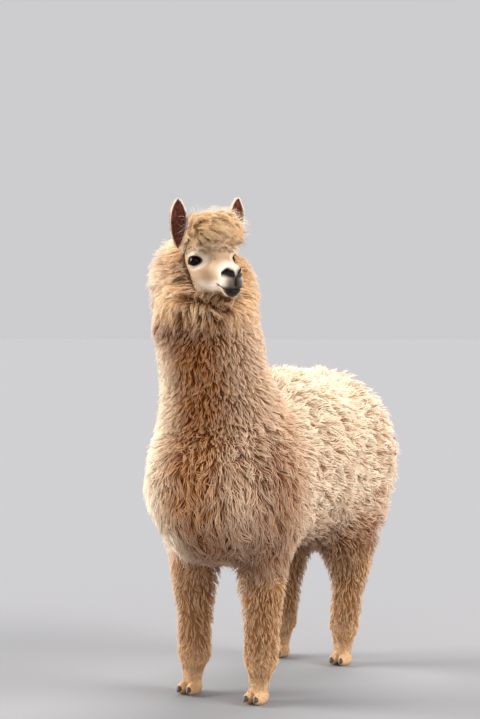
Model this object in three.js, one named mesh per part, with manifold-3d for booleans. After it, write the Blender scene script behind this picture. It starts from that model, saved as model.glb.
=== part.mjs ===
// A life-size standing huacaya alpaca in full fleece, its head turned to its left.
// Millimetres. +Z is up and the animal faces -Y, so its left side is at +X.
// The origin lies on the floor under the middle of the box round the model.
import * as THREE from "three";
import { mergeVertices } from "three/addons/utils/BufferGeometryUtils.js";
import Module from "manifold-3d";

const wasm = await Module();
wasm.setup();

// ---------------------------------------------------------------- driving dimensions
const BARREL_HALF_WIDTH = 268; // fleece included, as are all the sizes of the body
const BACK_HEIGHT = 966;
const BELLY_HEIGHT = 376;
const EYE_MIDPOINT = [52, -443, 1263]; // the head's own frame starts here
const HEAD_YAW = 57; // degrees to the animal's left
const HEAD_ROLL = 4; // degrees that the left eye stands above the right
const COLLAR_YAW = 30; // the neck twists half as far as the head
const EYE_RADIUS = 21;
const EAR_LENGTH = 143;
const LEG_HALF_TRACK = 112;
const FORE_FOOT_Y = -292;
const HIND_FOOT_Y = 256;
const GAP = 0.3; // between neighbouring solids
const FAR = 3000; // larger than the animal, for half-space cutters

const BARREL_HALF_HEIGHT = (BACK_HEIGHT - BELLY_HEIGHT) / 2;
const BARREL_MIDDLE = (BACK_HEIGHT + BELLY_HEIGHT) / 2;
const SIDES = [
  ["left", 1],
  ["right", -1],
];

// ---------------------------------------------------------------- materials
const material = (colour, roughness) =>
  new THREE.MeshStandardMaterial({ color: colour, roughness, metalness: 0 });
const fleece = material("#cfae8a", 0.95);
const faceFur = material("#e3cdb4", 0.9);
const topWool = material("#dfb887", 0.95);
const earSkin = material("#b58f76", 0.85);
const eyeGlass = material("#0b0a0a", 0.1);
const hornMaterial = material("#3a3029", 0.5);

// ---------------------------------------------------------------- distance fields
// A field gives a point's signed distance to a shape: negative inside, in millimetres.

// The frame of a shape that is turned about Z: point -> its own coordinates.
function turned(centre, yaw) {
  const angle = THREE.MathUtils.degToRad(yaw);
  const c = Math.cos(angle);
  const s = Math.sin(angle);
  return (x, y, z) => {
    const dx = x - centre[0];
    const dy = y - centre[1];
    return [c * dx + s * dy, -s * dx + c * dy, z - centre[2]];
  };
}

function ellipsoid(centre, radii, yaw = 0) {
  const local = turned(centre, yaw);
  return (x, y, z) => {
    const p = local(x, y, z);
    const k0 = Math.hypot(p[0] / radii[0], p[1] / radii[1], p[2] / radii[2]);
    const k1 = Math.hypot(p[0] / radii[0] ** 2, p[1] / radii[1] ** 2, p[2] / radii[2] ** 2);
    return k1 < 1e-9 ? -Math.min(...radii) : (k0 * (k0 - 1)) / k1;
  };
}

// A capsule whose radius runs from ra at a to rb at b.
function limb(a, ra, b, rb) {
  const axis = b.map((v, i) => v - a[i]);
  const length2 = axis.reduce((sum, v) => sum + v * v, 0);
  return (x, y, z) => {
    const q = [x - a[0], y - a[1], z - a[2]];
    const t = THREE.MathUtils.clamp(
      (q[0] * axis[0] + q[1] * axis[1] + q[2] * axis[2]) / length2, 0, 1);
    const off = Math.hypot(q[0] - t * axis[0], q[1] - t * axis[1], q[2] - t * axis[2]);
    return off - (ra + (rb - ra) * t);
  };
}

// Joins fields with a fillet about k wide.
function joined(k, fields) {
  return (x, y, z) => {
    let d = Infinity;
    for (const field of fields) {
      const e = field(x, y, z);
      const h = Math.max(k - Math.abs(d - e), 0) / k;
      d = Math.min(d, e) - (h * h * k) / 4;
    }
    return d;
  };
}

// A field given in another frame, such as the head's.
const within = (frame, field) => (x, y, z) => field(...frame(x, y, z));

const pair = (make) => SIDES.map(([, side]) => make(side));

// ---------------------------------------------------------------- the body's shape
const trunk = joined(70, [
  ellipsoid([0, 20, BARREL_MIDDLE], [BARREL_HALF_WIDTH - 6, 400, BARREL_HALF_HEIGHT - 6]),
  ellipsoid([0, -356, 632], [213, 206, 245]), // breast
  ...pair((s) => ellipsoid([s * 112, -235, 620], [118, 180, 225])), // shoulders
  ellipsoid([0, 312, 652], [262, 226, 300]), // rump
  ...pair((s) => ellipsoid([s * 116, 262, 500], [108, 155, 205])), // thighs
]);

const neck = joined(60, [
  limb([0, -300, 700], 176, [0, -345, 860], 159),
  limb([0, -345, 860], 159, [0, -394, 1030], 143),
  limb([0, -394, 1030], 143, [-14, -392, 1098], 143),
]);

// The collar of wool round the back of the head and the cheeks.
const collar = ellipsoid([-50, -341, 1199], [163, 110, 152], COLLAR_YAW);

const tail = joined(20, [
  limb([0, 480, 820], 32, [0, 532, 700], 36),
  limb([0, 532, 700], 36, [0, 546, 585], 22),
]);

const foreLeg = (s) => joined(40, [
  limb([s * 116, -280, 560], 98, [s * 113, FORE_FOOT_Y + 2, 330], 68),
  limb([s * 113, FORE_FOOT_Y + 2, 330], 66, [s * LEG_HALF_TRACK, FORE_FOOT_Y, 120], 54),
]);
const hindLeg = (s) => joined(40, [
  limb([s * 116, 262, 460], 108, [s * 114, HIND_FOOT_Y + 34, 310], 68),
  limb([s * 114, HIND_FOOT_Y + 34, 310], 62, [s * LEG_HALF_TRACK, HIND_FOOT_Y, 120], 52),
]);

const coat = joined(55, [trunk, neck, collar, ...pair(foreLeg), ...pair(hindLeg)]);

// ---------------------------------------------------------------- the head's shape
// In the head's own frame x runs to its left, y backwards and z up from the eye line.
const yaw = THREE.MathUtils.degToRad(HEAD_YAW);
const roll = THREE.MathUtils.degToRad(HEAD_ROLL);
const headTurn = new THREE.Matrix4().makeRotationZ(yaw)
  .multiply(new THREE.Matrix4().makeRotationY(-roll));
const unrolled = turned(EYE_MIDPOINT, HEAD_YAW);
const headFrame = (x, y, z) => {
  const [across, back, up] = unrolled(x, y, z);
  return [Math.cos(roll) * across + Math.sin(roll) * up, back, Math.cos(roll) * up - Math.sin(roll) * across];
};

const skull = joined(22, [
  ellipsoid([0, 56, 14], [60, 78, 56]), // braincase
  ellipsoid([0, 8, -2], [50, 42, 40]), // forehead
  ...pair((s) => ellipsoid([s * 40, 36, -4], [25, 40, 36])), // sockets
  limb([0, -5, -22], 42, [0, -72, -46], 31), // bridge of the nose
  limb([0, 25, -62], 42, [0, -62, -78], 22), // lower jaw
  ...pair((s) => ellipsoid([s * 34, 22, -42], [28, 48, 44])), // cheeks
]);
const brows = pair((s) => ellipsoid([s * 46, 15, 15], [18, 24, 13]));
const nose = ellipsoid([0, -94, -42], [27, 24, 23]);
const upperLips = pair((s) => ellipsoid([s * 13, -92, -70], [18, 24, 21]));
const chin = ellipsoid([0, -82, -94], [20, 24, 17]);
const face = joined(16, [skull, ...brows, nose, ...upperLips, chin]);

const topknotField = joined(30, [
  ellipsoid([4, 12, 84], [88, 72, 58]),
  ellipsoid([6, -18, 58], [68, 36, 30]), // fringe
]);

const earRuff = ellipsoid([0, 122, 18], [120, 62, 72]); // wool behind and between the ears

const wholeHead = within(headFrame, face);
const woolBack = joined(60, [coat, within(headFrame, earRuff)]);
const whole = joined(26, [woolBack, wholeHead, within(headFrame, topknotField)]);

// ---------------------------------------------------------------- from field to solid
// Wraps the field's zero surface in quads, one vertex to each cell of a grid that the
// surface crosses, and draws each vertex onto the surface. The field is cut off at the box.
function wrap(field, box, cell) {
  const [lo, hi] = box;
  const counts = lo.map((v, i) => Math.ceil((hi[i] - v) / cell) + 1);
  const [nx, ny, nz] = counts;
  const edgeField = (x, y, z) => Math.max(
    field(x, y, z), lo[0] + cell - x, x - hi[0] + cell,
    lo[1] + cell - y, y - hi[1] + cell, lo[2] + cell - z, z - hi[2] + cell);
  const at = (i, j, k) => (k * ny + j) * nx + i;
  const values = new Float64Array(nx * ny * nz);
  for (let k = 0; k < nz; k++)
    for (let j = 0; j < ny; j++)
      for (let i = 0; i < nx; i++)
        values[at(i, j, k)] = edgeField(lo[0] + i * cell, lo[1] + j * cell, lo[2] + k * cell);

  const corners = [0, 1, 2, 3, 4, 5, 6, 7].map((c) => [c & 1, (c >> 1) & 1, c >> 2]);
  const cellEdges = [[0, 1], [2, 3], [4, 5], [6, 7], [0, 2], [1, 3], [4, 6], [5, 7],
    [0, 4], [1, 5], [2, 6], [3, 7]];
  const positions = [];
  const vertexOf = new Map();
  for (let k = 0; k < nz - 1; k++)
    for (let j = 0; j < ny - 1; j++)
      for (let i = 0; i < nx - 1; i++) {
        const v = corners.map(([a, b, c]) => values[at(i + a, j + b, k + c)]);
        const sum = [0, 0, 0];
        let crossings = 0;
        for (const [a, b] of cellEdges) {
          if (v[a] < 0 === v[b] < 0) continue;
          const t = v[a] / (v[a] - v[b]);
          for (let n = 0; n < 3; n++)
            sum[n] += corners[a][n] + t * (corners[b][n] - corners[a][n]);
          crossings++;
        }
        if (!crossings) continue;
        vertexOf.set(at(i, j, k), positions.length / 3);
        [i, j, k].forEach((n, m) => positions.push(lo[m] + (n + sum[m] / crossings) * cell));
      }
  settle(edgeField, positions, cell);

  const index = [];
  const quad = (a, b, c, d, flip) => {
    const ring = [a, b, c, d].map((cellAt) => vertexOf.get(cellAt));
    if (flip) ring.reverse();
    index.push(ring[0], ring[1], ring[2], ring[0], ring[2], ring[3]);
  };
  for (let k = 1; k < nz - 1; k++)
    for (let j = 1; j < ny - 1; j++)
      for (let i = 1; i < nx - 1; i++) {
        const inside = values[at(i, j, k)] < 0;
        const step = { x: at(1, 0, 0), y: at(0, 1, 0), z: at(0, 0, 1) };
        const here = at(i, j, k);
        for (const [n, u, v] of [["x", "y", "z"], ["y", "z", "x"], ["z", "x", "y"]]) {
          if (inside === values[here + step[n]] < 0) continue;
          quad(here, here - step[u], here - step[u] - step[v], here - step[v], !inside);
        }
      }
  return new THREE.BufferGeometry()
    .setAttribute("position", new THREE.Float32BufferAttribute(positions, 3))
    .setIndex(index);
}

// Moves each vertex along the field's slope until it lies on the surface.
function settle(field, positions, cell) {
  const steps = 4;
  const h = 0.5;
  for (let i = 0; i < positions.length; i += 3) {
    const start = positions.slice(i, i + 3);
    let [x, y, z] = start;
    for (let n = 0; n < steps; n++) {
      const d = field(x, y, z);
      const g = [
        field(x + h, y, z) - field(x - h, y, z),
        field(x, y + h, z) - field(x, y - h, z),
        field(x, y, z + h) - field(x, y, z - h),
      ].map((v) => v / (2 * h));
      const size = Math.max(g[0] ** 2 + g[1] ** 2 + g[2] ** 2, 0.25);
      [x, y, z] = [x, y, z].map((v, m) => v - (d * g[m]) / size);
    }
    [x, y, z].forEach((v, m) => {
      const limit = 0.45 * cell;
      positions[i + m] = start[m] + THREE.MathUtils.clamp(v - start[m], -limit, limit);
    });
  }
}

function toSolid(geometry) {
  const plain = geometry.clone();
  plain.deleteAttribute("normal");
  plain.deleteAttribute("uv");
  const merged = mergeVertices(plain, 1e-4);
  return new wasm.Manifold(new wasm.Mesh({
    numProp: 3,
    vertProperties: merged.attributes.position.array,
    triVerts: new Uint32Array(merged.index.array),
  }));
}

function toGeometry(solid) {
  const mesh = solid.getMesh();
  return new THREE.BufferGeometry()
    .setAttribute("position", new THREE.BufferAttribute(new Float32Array(mesh.vertProperties), 3))
    .setIndex(new THREE.BufferAttribute(new Uint32Array(mesh.triVerts), 1));
}

// The largest closed body of a solid, so that a cut leaves no crumbs.
function largest(solid) {
  return solid.decompose().reduce((a, b) => (b.volume() > a.volume() ? b : a));
}

// ---------------------------------------------------------------- cutters
// The half-space on the far side of a plane through a point, as a large turned box.
// The box is set back by half of the gap between neighbours.
function beyond(point, normal) {
  const n = new THREE.Vector3(...normal).normalize();
  const box = new THREE.BoxGeometry(FAR, FAR, FAR).translate(0, 0, FAR / 2 + GAP / 2);
  box.applyQuaternion(new THREE.Quaternion().setFromUnitVectors(new THREE.Vector3(0, 0, 1), n));
  return toSolid(box.translate(...point));
}
const opposite = (normal) => normal.map((v) => -v);
const planes = {};
function plane(name, point, normal) {
  planes[name] = [beyond(point, normal), beyond(point, opposite(normal))];
}
const over = (name) => planes[name][0];
const under = (name) => planes[name][1];

// A point and a direction of the head's frame, in the row's frame.
const headDirection = (v) => new THREE.Vector3(...v).applyMatrix4(headTurn).toArray();
const headPoint = (p) => headDirection(p).map((v, i) => v + EYE_MIDPOINT[i]);

const CHIN_CREASE = 1148;
plane("breast", [0, -165, 0], [0, 1, 0]);
plane("loin", [0, 150, 0], [0, 1, 0]);
plane("neckRoot", [0, -360, 830], [0, -0.52, 0.85]);
plane("midNeck", [0, -390, 1000], [0, -0.2, 1]);
plane("crease", [0, 0, CHIN_CREASE], [0, 0, 1]);
plane("nape", headPoint([0, 66, 0]), headDirection([0, -1, 0.1]));
plane("muzzle", headPoint([0, -34, -40]), headDirection([0, -1, -0.25]));
plane("hairline", headPoint([0, -30, 34]), headDirection([0, -0.12, 1]));
plane("elbow", [0, 0, 395], [0, 0, 1]);
plane("stifle", [0, 0, 405], [0, 0, 1]);
plane("knee", [0, 0, 315], [0, 0, 1]);
plane("hock", [0, 0, 290], [0, 0, 1]);
plane("fetlock", [0, 0, 96], [0, 0, 1]);
plane("midline", [0, 0, 0], [1, 0, 0]);
plane("floor", [0, 0, -GAP / 2], [0, 0, 1]);

function cutBy(solid, keeps) {
  return largest(keeps.reduce((s, keep) => s.intersect(keep), solid));
}

// ---------------------------------------------------------------- separate pieces
// An ellipsoid of facets in the head's frame, turned by its own yaw, pitch and roll.
function headEllipsoid(centre, radii, turn = [0, 0, 0], across = 12, down = 8) {
  const angles = turn.map(THREE.MathUtils.degToRad);
  return toSolid(new THREE.SphereGeometry(1, across, down)
    .rotateX(Math.PI / 2)
    .scale(...radii)
    .rotateX(angles[1])
    .rotateY(angles[2])
    .rotateZ(angles[0])
    .applyMatrix4(headTurn)
    .translate(...headPoint(centre)));
}

// Eyes: balls that the head is hollowed for, seen between the lids.
const EYE_CENTRE = [47, 21, -5];
const eyeBall = (s, radius) => headEllipsoid(
  [s * EYE_CENTRE[0], EYE_CENTRE[1], EYE_CENTRE[2]], [radius, radius, radius]);
const lidOpening = (s) => headEllipsoid([s * 64, 5, -4], [19, 19, 12], [s * 46, 0, 0]);

// Nostrils: two slanting pits in the end of the nose.
const nostril = (s) => headEllipsoid([s * 16, -115, -45], [9, 9, 5], [s * 40, 0, s * -25], 10, 6);

// Mouth: a slit along the lips, no deeper than the lips are thick.
const LIP_DEPTH = 6;
const MOUTH_WIDTH = 3.5;
const MOUTH_TILT = 14; // degrees that the corners stand above the front
function mouthSlit(box, cell) {
  const core = toSolid(wrap((x, y, z) => wholeHead(x, y, z) + LIP_DEPTH, box, cell));
  return toSolid(new THREE.BoxGeometry(110, 70, MOUTH_WIDTH)
    .rotateX(THREE.MathUtils.degToRad(MOUTH_TILT))
    .applyMatrix4(headTurn)
    .translate(...headPoint([0, -93, -86]))).subtract(core);
}

// Ears: a sphere drawn out to a pointed leaf, thinned, and cupped round its own length.
const EAR_ROOT = [76, 82, 34];
const EAR_TIPS = { 1: [106, 42, 175], [-1]: [-85, 42, 169] };
const EAR_HALF_WIDTH = 27;
const EAR_THICKNESS = 6;
const EAR_CUP = 17; // how far the rims stand forward of the middle
const EAR_OUTWARD = { 1: 4, [-1]: 20 }; // degrees that each opening faces away from straight ahead
function ear(s) {
  const leaf = new THREE.SphereGeometry(1, 12, 11);
  const p = leaf.attributes.position;
  for (let i = 0; i < p.count; i++) {
    const along = (p.getY(i) + 1) / 2; // 0 at the root, 1 at the tip
    const round = Math.max(Math.hypot(p.getX(i), p.getZ(i)), 1e-9);
    const outline = Math.max(Math.sin(Math.PI * along ** 1.27), 0) ** (0.6 + 0.35 * along);
    const wide = round < 1e-6 ? 0 : (-p.getX(i) / round) * outline;
    const thick = round < 1e-6 ? 0 : (p.getZ(i) / round) * Math.sqrt(Math.max(1 - wide * wide, 0));
    const x = wide * EAR_HALF_WIDTH;
    p.setXYZ(i,
      x,
      thick * outline * EAR_THICKNESS - EAR_CUP * wide ** 2,
      along * EAR_LENGTH);
  }
  const root = new THREE.Vector3(...headPoint([s * EAR_ROOT[0], EAR_ROOT[1], EAR_ROOT[2]]));
  const tip = new THREE.Vector3(...headPoint(EAR_TIPS[s]));
  const up = tip.clone().sub(root).normalize();
  const angle = THREE.MathUtils.degToRad(EAR_OUTWARD[s]);
  const back = new THREE.Vector3(...headDirection([-s * Math.sin(angle), Math.cos(angle), 0]));
  back.addScaledVector(up, -back.dot(up)).normalize();
  const across = new THREE.Vector3().crossVectors(back, up);
  return toSolid(leaf.applyMatrix4(
    new THREE.Matrix4().makeBasis(across, back, up).setPosition(root)));
}

// Feet: a woolly pastern over two toes, each with a pointed horn nail.
const NAIL_LENGTH = 26;
const NAIL_CLEARANCE = 0.6;
const TOE_SPREAD = 16;
const TOE_MIDDLE = 28; // from the middle of the leg to the middle of the toe
const TOE_REACH = 60; // from the middle of the leg to the middle of the nail
const legOf = { fore: foreLeg, hind: hindLeg };
const legY = { fore: FORE_FOOT_Y, hind: HIND_FOOT_Y };
const pastern = (name, s) => joined(14, [
  legOf[name](s),
  limb([s * LEG_HALF_TRACK, legY[name] - 4, 96], 36, [s * LEG_HALF_TRACK, legY[name] - 14, 34], 30),
]);
const toe = (x, y) => toSolid(new THREE.SphereGeometry(1, 8, 6)
  .scale(16, 21, 40)
  .rotateX(THREE.MathUtils.degToRad(90))
  .translate(x, y, 17));
function nail(x, y, extra = 0) {
  const horn = new THREE.SphereGeometry(1, 6, 5);
  const p = horn.attributes.position;
  for (let i = 0; i < p.count; i++) {
    const forward = Math.max(-p.getY(i), 0);
    const taper = 1 - 0.5 * forward;
    p.setXYZ(i,
      p.getX(i) * (8.5 + extra) * taper,
      p.getY(i) * (NAIL_LENGTH / 2 + extra),
      p.getZ(i) * (9 + extra) * taper - 5 * forward ** 2);
  }
  return toSolid(horn.rotateX(THREE.MathUtils.degToRad(12)).translate(x, y, 17));
}

// ---------------------------------------------------------------- the object
const alpaca = new THREE.Group();
function addNode(name, solid, look) {
  const mesh = new THREE.Mesh(toGeometry(solid), look);
  mesh.name = name;
  alpaca.add(mesh);
}

// Trunk and lower neck.
const TRUNK_CELL = 72;
const trunkBox = [[-385, -735, 150], [385, 735, 1250]];
const trunkWrap = toSolid(wrap(coat, trunkBox, TRUNK_CELL));
const belowNeck = cutBy(trunkWrap, [under("neckRoot")]);
addNode("chest", cutBy(belowNeck, [under("breast"), over("elbow")]), fleece);
addNode("barrel", cutBy(belowNeck, [over("breast"), under("loin")]), fleece);
addNode("rump", cutBy(belowNeck, [over("loin"), over("stifle")]), fleece);
addNode("neck_lower", cutBy(trunkWrap, [over("neckRoot"), under("midNeck")]), fleece);

// The tail hangs against the rump, clear of it by the gap.
const rumpRoom = toSolid(wrap((x, y, z) => coat(x, y, z) - GAP, trunkBox, TRUNK_CELL));
addNode("tail", largest(toSolid(
  wrap(tail, [[-100, 360, 460], [100, 660, 930]], 34)).subtract(rumpRoom)), fleece);

// Upper neck, collar and head.
const NECK_CELL = 50;
const HEAD_CELL = 29;
const MUZZLE_CELL = 15;
const neckBox = [[-290, -660, 860], [290, -120, 1240]];
const neckWrap = toSolid(wrap(coat, neckBox, NECK_CELL));
const headBox = [[-250, -620, 1090], [280, -180, 1470]];
const headWrap = toSolid(wrap(whole, headBox, HEAD_CELL));
const muzzleBox = [[30, -590, 1110], [230, -390, 1300]];
const muzzleWrap = toSolid(wrap(whole, muzzleBox, MUZZLE_CELL));
const eyeRoom = (s) => eyeBall(s, EYE_RADIUS + GAP).add(lidOpening(s));
const eyeRooms = eyeRoom(1).add(eyeRoom(-1));

addNode("neck_upper", cutBy(neckWrap, [over("midNeck"), under("crease")]), fleece);
addNode("collar", cutBy(headWrap, [over("crease"), under("nape")]), fleece);
addNode("topknot", cutBy(headWrap, [over("nape"), over("hairline")]), topWool);
addNode("head", largest(cutBy(headWrap,
  [over("crease"), over("nape"), under("hairline"), under("muzzle")]).subtract(eyeRooms)), faceFur);
addNode("muzzle", largest(cutBy(muzzleWrap, [over("crease"), over("muzzle"), under("hairline")])
  .subtract(nostril(1).add(nostril(-1))).subtract(mouthSlit(muzzleBox, MUZZLE_CELL))), faceFur);

// The ears rise out of the wool, clear of it by the gap.
const woolRoom = toSolid(wrap((x, y, z) => whole(x, y, z) - GAP, headBox, HEAD_CELL));
for (const [side, s] of SIDES) {
  addNode("ear_" + side, largest(ear(s).subtract(woolRoom)), earSkin);
  addNode("eye_" + side, eyeBall(s, EYE_RADIUS), eyeGlass);
}

// Legs, feet and nails.
const LEG_CELL = 54;
const FOOT_CELL = 34;
const kneeOf = { fore: "knee", hind: "hock" };
const topOf = { fore: "elbow", hind: "stifle" };
const quarterOf = { fore: under("breast"), hind: over("loin") };
for (const [side, s] of SIDES) {
  const half = s > 0 ? over("midline") : under("midline");
  for (const name of ["fore", "hind"]) {
    const label = name + "_" + side;
    const y = legY[name];
    const legBox = [[s * LEG_HALF_TRACK - 200, y - 250, -80], [s * LEG_HALF_TRACK + 200, y + 300, 540]];
    const legWrap = toSolid(wrap(coat, legBox, LEG_CELL)).intersect(half);
    addNode("leg_upper_" + label,
      cutBy(legWrap, [quarterOf[name], under(topOf[name]), over(kneeOf[name])]), fleece);
    addNode("leg_lower_" + label, cutBy(legWrap, [under(kneeOf[name]), over("fetlock")]), fleece);

    const footBox = [[s * LEG_HALF_TRACK - 95, y - 105, -30], [s * LEG_HALF_TRACK + 95, y + 95, 170]];
    let foot = toSolid(wrap(pastern(name, s), footBox, FOOT_CELL));
    for (const [which, t] of [["inner", -s], ["outer", s]]) {
      const x = s * LEG_HALF_TRACK + t * TOE_SPREAD;
      foot = foot.add(toe(x, y - TOE_MIDDLE)).subtract(nail(x, y - TOE_REACH, NAIL_CLEARANCE));
      addNode("nail_" + which + "_" + label,
        nail(x, y - TOE_REACH).intersect(over("floor")), hornMaterial);
    }
    addNode("foot_" + label, cutBy(foot, [under("fetlock"), over("floor")]), faceFur);
  }
}

export default alpaca;
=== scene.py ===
"""A life-size alpaca in full fleece: its skin, face, eyes, nails, coat and stage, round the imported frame."""
import math

import bmesh
import bpy
import numpy as np
from bpy.props import FloatProperty, FloatVectorProperty, IntProperty, PointerProperty
from mathutils import Matrix, Vector
from mathutils.kdtree import KDTree


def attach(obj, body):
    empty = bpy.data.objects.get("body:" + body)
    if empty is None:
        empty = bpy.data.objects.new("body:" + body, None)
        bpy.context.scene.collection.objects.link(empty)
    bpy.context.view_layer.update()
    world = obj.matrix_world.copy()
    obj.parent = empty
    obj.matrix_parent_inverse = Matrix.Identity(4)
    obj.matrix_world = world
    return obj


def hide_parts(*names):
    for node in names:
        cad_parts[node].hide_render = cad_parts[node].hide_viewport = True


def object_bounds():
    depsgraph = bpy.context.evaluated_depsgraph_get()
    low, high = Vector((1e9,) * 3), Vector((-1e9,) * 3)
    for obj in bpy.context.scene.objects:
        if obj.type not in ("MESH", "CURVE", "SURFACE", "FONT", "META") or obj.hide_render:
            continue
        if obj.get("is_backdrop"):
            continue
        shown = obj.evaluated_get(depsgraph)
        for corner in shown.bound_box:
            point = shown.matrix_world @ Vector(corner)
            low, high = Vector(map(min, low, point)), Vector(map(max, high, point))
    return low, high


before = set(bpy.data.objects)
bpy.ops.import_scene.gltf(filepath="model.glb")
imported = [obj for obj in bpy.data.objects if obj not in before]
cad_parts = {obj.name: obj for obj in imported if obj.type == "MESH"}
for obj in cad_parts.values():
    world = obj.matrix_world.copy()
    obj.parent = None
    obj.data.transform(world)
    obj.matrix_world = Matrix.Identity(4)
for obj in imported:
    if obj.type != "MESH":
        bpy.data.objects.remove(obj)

CAD_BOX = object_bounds()

bl_info = {
    "name": "Alpaca",
    "version": (1, 0, 0),
    "blender": (4, 5, 0),
    "location": "View3D > Sidebar > Alpaca",
    "description": "Builds a standing alpaca in full fleece round its packed frame",
    "category": "Object",
}

# --- units and small helpers
# The shape fields work in millimetres, as the animal was measured; meshes are in metres.
MM = 0.001
TO_METRES = Matrix.Scale(MM, 4)
UP = np.array([0.0, 0.0, 1.0])


def linear(hex_colour):
    """sRGB hex to linear red, green, blue."""
    channels = [int(hex_colour[i:i + 2], 16) / 255 for i in (1, 3, 5)]
    return tuple(c / 12.92 if c <= 0.04045 else ((c + 0.055) / 1.055) ** 2.4 for c in channels)


def unit(vectors):
    """Vectors at length one."""
    return vectors / np.maximum(np.linalg.norm(vectors, axis=-1, keepdims=True), 1e-9)


def smoothstep(low, high, x):
    """0 at low, 1 at high, smooth between; low may be the larger."""
    t = np.clip((x - low) / (high - low), 0.0, 1.0)
    return t * t * (3 - 2 * t)


def hump(x, centre, width):
    """A bell curve of height one."""
    return np.exp(-(((x - centre) / width) ** 2))


def ripple(points, wavelength, seed, waves=5):
    """Smooth noise in three channels, mostly within -1..1, from a few plane waves."""
    rng = np.random.default_rng(seed)
    total = np.zeros((len(points), 3))
    for _ in range(waves):
        heading = unit(rng.normal(size=(3, 3)))
        phase = rng.uniform(0, 2 * np.pi, 3)
        length = wavelength * rng.uniform(0.7, 1.5, 3)
        total += np.sin(points @ (heading * (2 * np.pi / length[:, None])).T + phase)
    return total / math.sqrt(waves * 1.5)


def mirrored(p):
    """Points brought over to the left side."""
    return p * [0, 1, 1] + np.abs(p) * [1, 0, 0]


def in_mm(settings, *names):
    """Some of a group's lengths, in mm."""
    return [getattr(settings, name) / MM for name in names]


def add_object(name, data):
    """Puts a new object into the scene."""
    made = bpy.data.objects.new(name, data)
    bpy.context.scene.collection.objects.link(made)
    return made


def finished(bm, name):
    """Turns an edited mesh into a finished one."""
    mesh = bpy.data.meshes.new(name)
    bm.to_mesh(mesh)
    bm.free()
    return mesh


# --- shapes, in mm
class Ball:
    """An ellipsoid. Called with points it gives their distance; add_to makes its mesh."""

    def __init__(self, centre, radii, yaw=0, both=False):
        self.centre, self.radii = np.array(centre, float), np.array(radii, float)
        self.yaw, self.both = math.radians(yaw), both

    def __call__(self, p):
        d = (mirrored(p) if self.both else p) - self.centre
        c, s = math.cos(self.yaw), math.sin(self.yaw)
        q = np.stack([c * d[:, 0] + s * d[:, 1], -s * d[:, 0] + c * d[:, 1], d[:, 2]], axis=1)
        k0 = np.linalg.norm(q / self.radii, axis=1)
        k1 = np.maximum(np.linalg.norm(q / self.radii ** 2, axis=1), 1e-9)
        return k0 * (k0 - 1) / k1

    def add_to(self, bm, space, shrink):
        for side in (1, -1) if self.both else (1,):
            place = Matrix.Translation(self.centre * [side, 1, 1]) @ Matrix.Rotation(self.yaw, 4, "Z")
            size = Matrix.Diagonal((*np.maximum(self.radii - shrink, 3), 1))
            bmesh.ops.create_icosphere(bm, subdivisions=4, radius=1, matrix=TO_METRES @ space @ place @ size)


class Limb:
    """A capsule whose radius runs from one end to the other. add_to also makes its round ends."""

    def __init__(self, start, start_radius, end, end_radius, both=False):
        self.start, self.end = np.array(start, float), np.array(end, float)
        self.radii, self.both = (start_radius, end_radius), both

    def __call__(self, p):
        q = (mirrored(p) if self.both else p) - self.start
        axis = self.end - self.start
        t = np.clip(q @ axis / (axis @ axis), 0, 1)
        radius = self.radii[0] + (self.radii[1] - self.radii[0]) * t
        return np.linalg.norm(q - t[:, None] * axis, axis=1) - radius

    def add_to(self, bm, space, shrink):
        for side in (1, -1) if self.both else (1,):
            start, end = (Vector(point * [side, 1, 1]) for point in (self.start, self.end))
            turn = (end - start).to_track_quat("Z", "Y").to_matrix().to_4x4()
            radii = [max(radius - shrink, 3) for radius in self.radii]
            middle = Matrix.Translation((start + end) / 2) @ turn
            bmesh.ops.create_cone(bm, cap_ends=True, segments=32, radius1=radii[0], radius2=radii[1],
                                  depth=(end - start).length, matrix=TO_METRES @ space @ middle)
            for point, radius in ((start, radii[0]), (end, radii[1])):
                bmesh.ops.create_icosphere(
                    bm, subdivisions=4, radius=radius, matrix=TO_METRES @ space @ Matrix.Translation(point))


def chain(*joints, both=False):
    """Limbs that run on from joint to joint: pairs of a place and a radius."""
    return [Limb(*start, *end, both=both) for start, end in zip(joints, joints[1:])]


def smooth_union(k, distances):
    """Joins distances with a fillet about k wide."""
    total = distances[0]
    for d in distances[1:]:
        h = np.maximum(k - np.abs(total - d), 0) / k
        total = np.minimum(total, d) - h * h * k / 4
    return total


def smooth_cut(k, distance, tool):
    """Takes a tool away, with its edge rounded about k wide."""
    h = np.maximum(k - np.abs(distance + tool), 0) / k
    return np.maximum(distance, -tool) + h * h * k / 4


def joined(k, shapes, p):
    return smooth_union(k, [shape(p) for shape in shapes])


# --- the body's shape, fleece included
BARREL_HALF_WIDTH = 268
BACK_HEIGHT = 966
BELLY_HEIGHT = 376
EYE_MIDPOINT = np.array([52.0, -443.0, 1263.0])
HEAD_YAW = 57
HEAD_ROLL = 4
COLLAR_YAW = 30
LEG_HALF_TRACK = 112
FORE_FOOT_Y = -292
HIND_FOOT_Y = 256
TOE_SPREAD = 16
BARREL_HALF_HEIGHT = (BACK_HEIGHT - BELLY_HEIGHT) / 2
BARREL_MIDDLE = (BACK_HEIGHT + BELLY_HEIGHT) / 2

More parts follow.
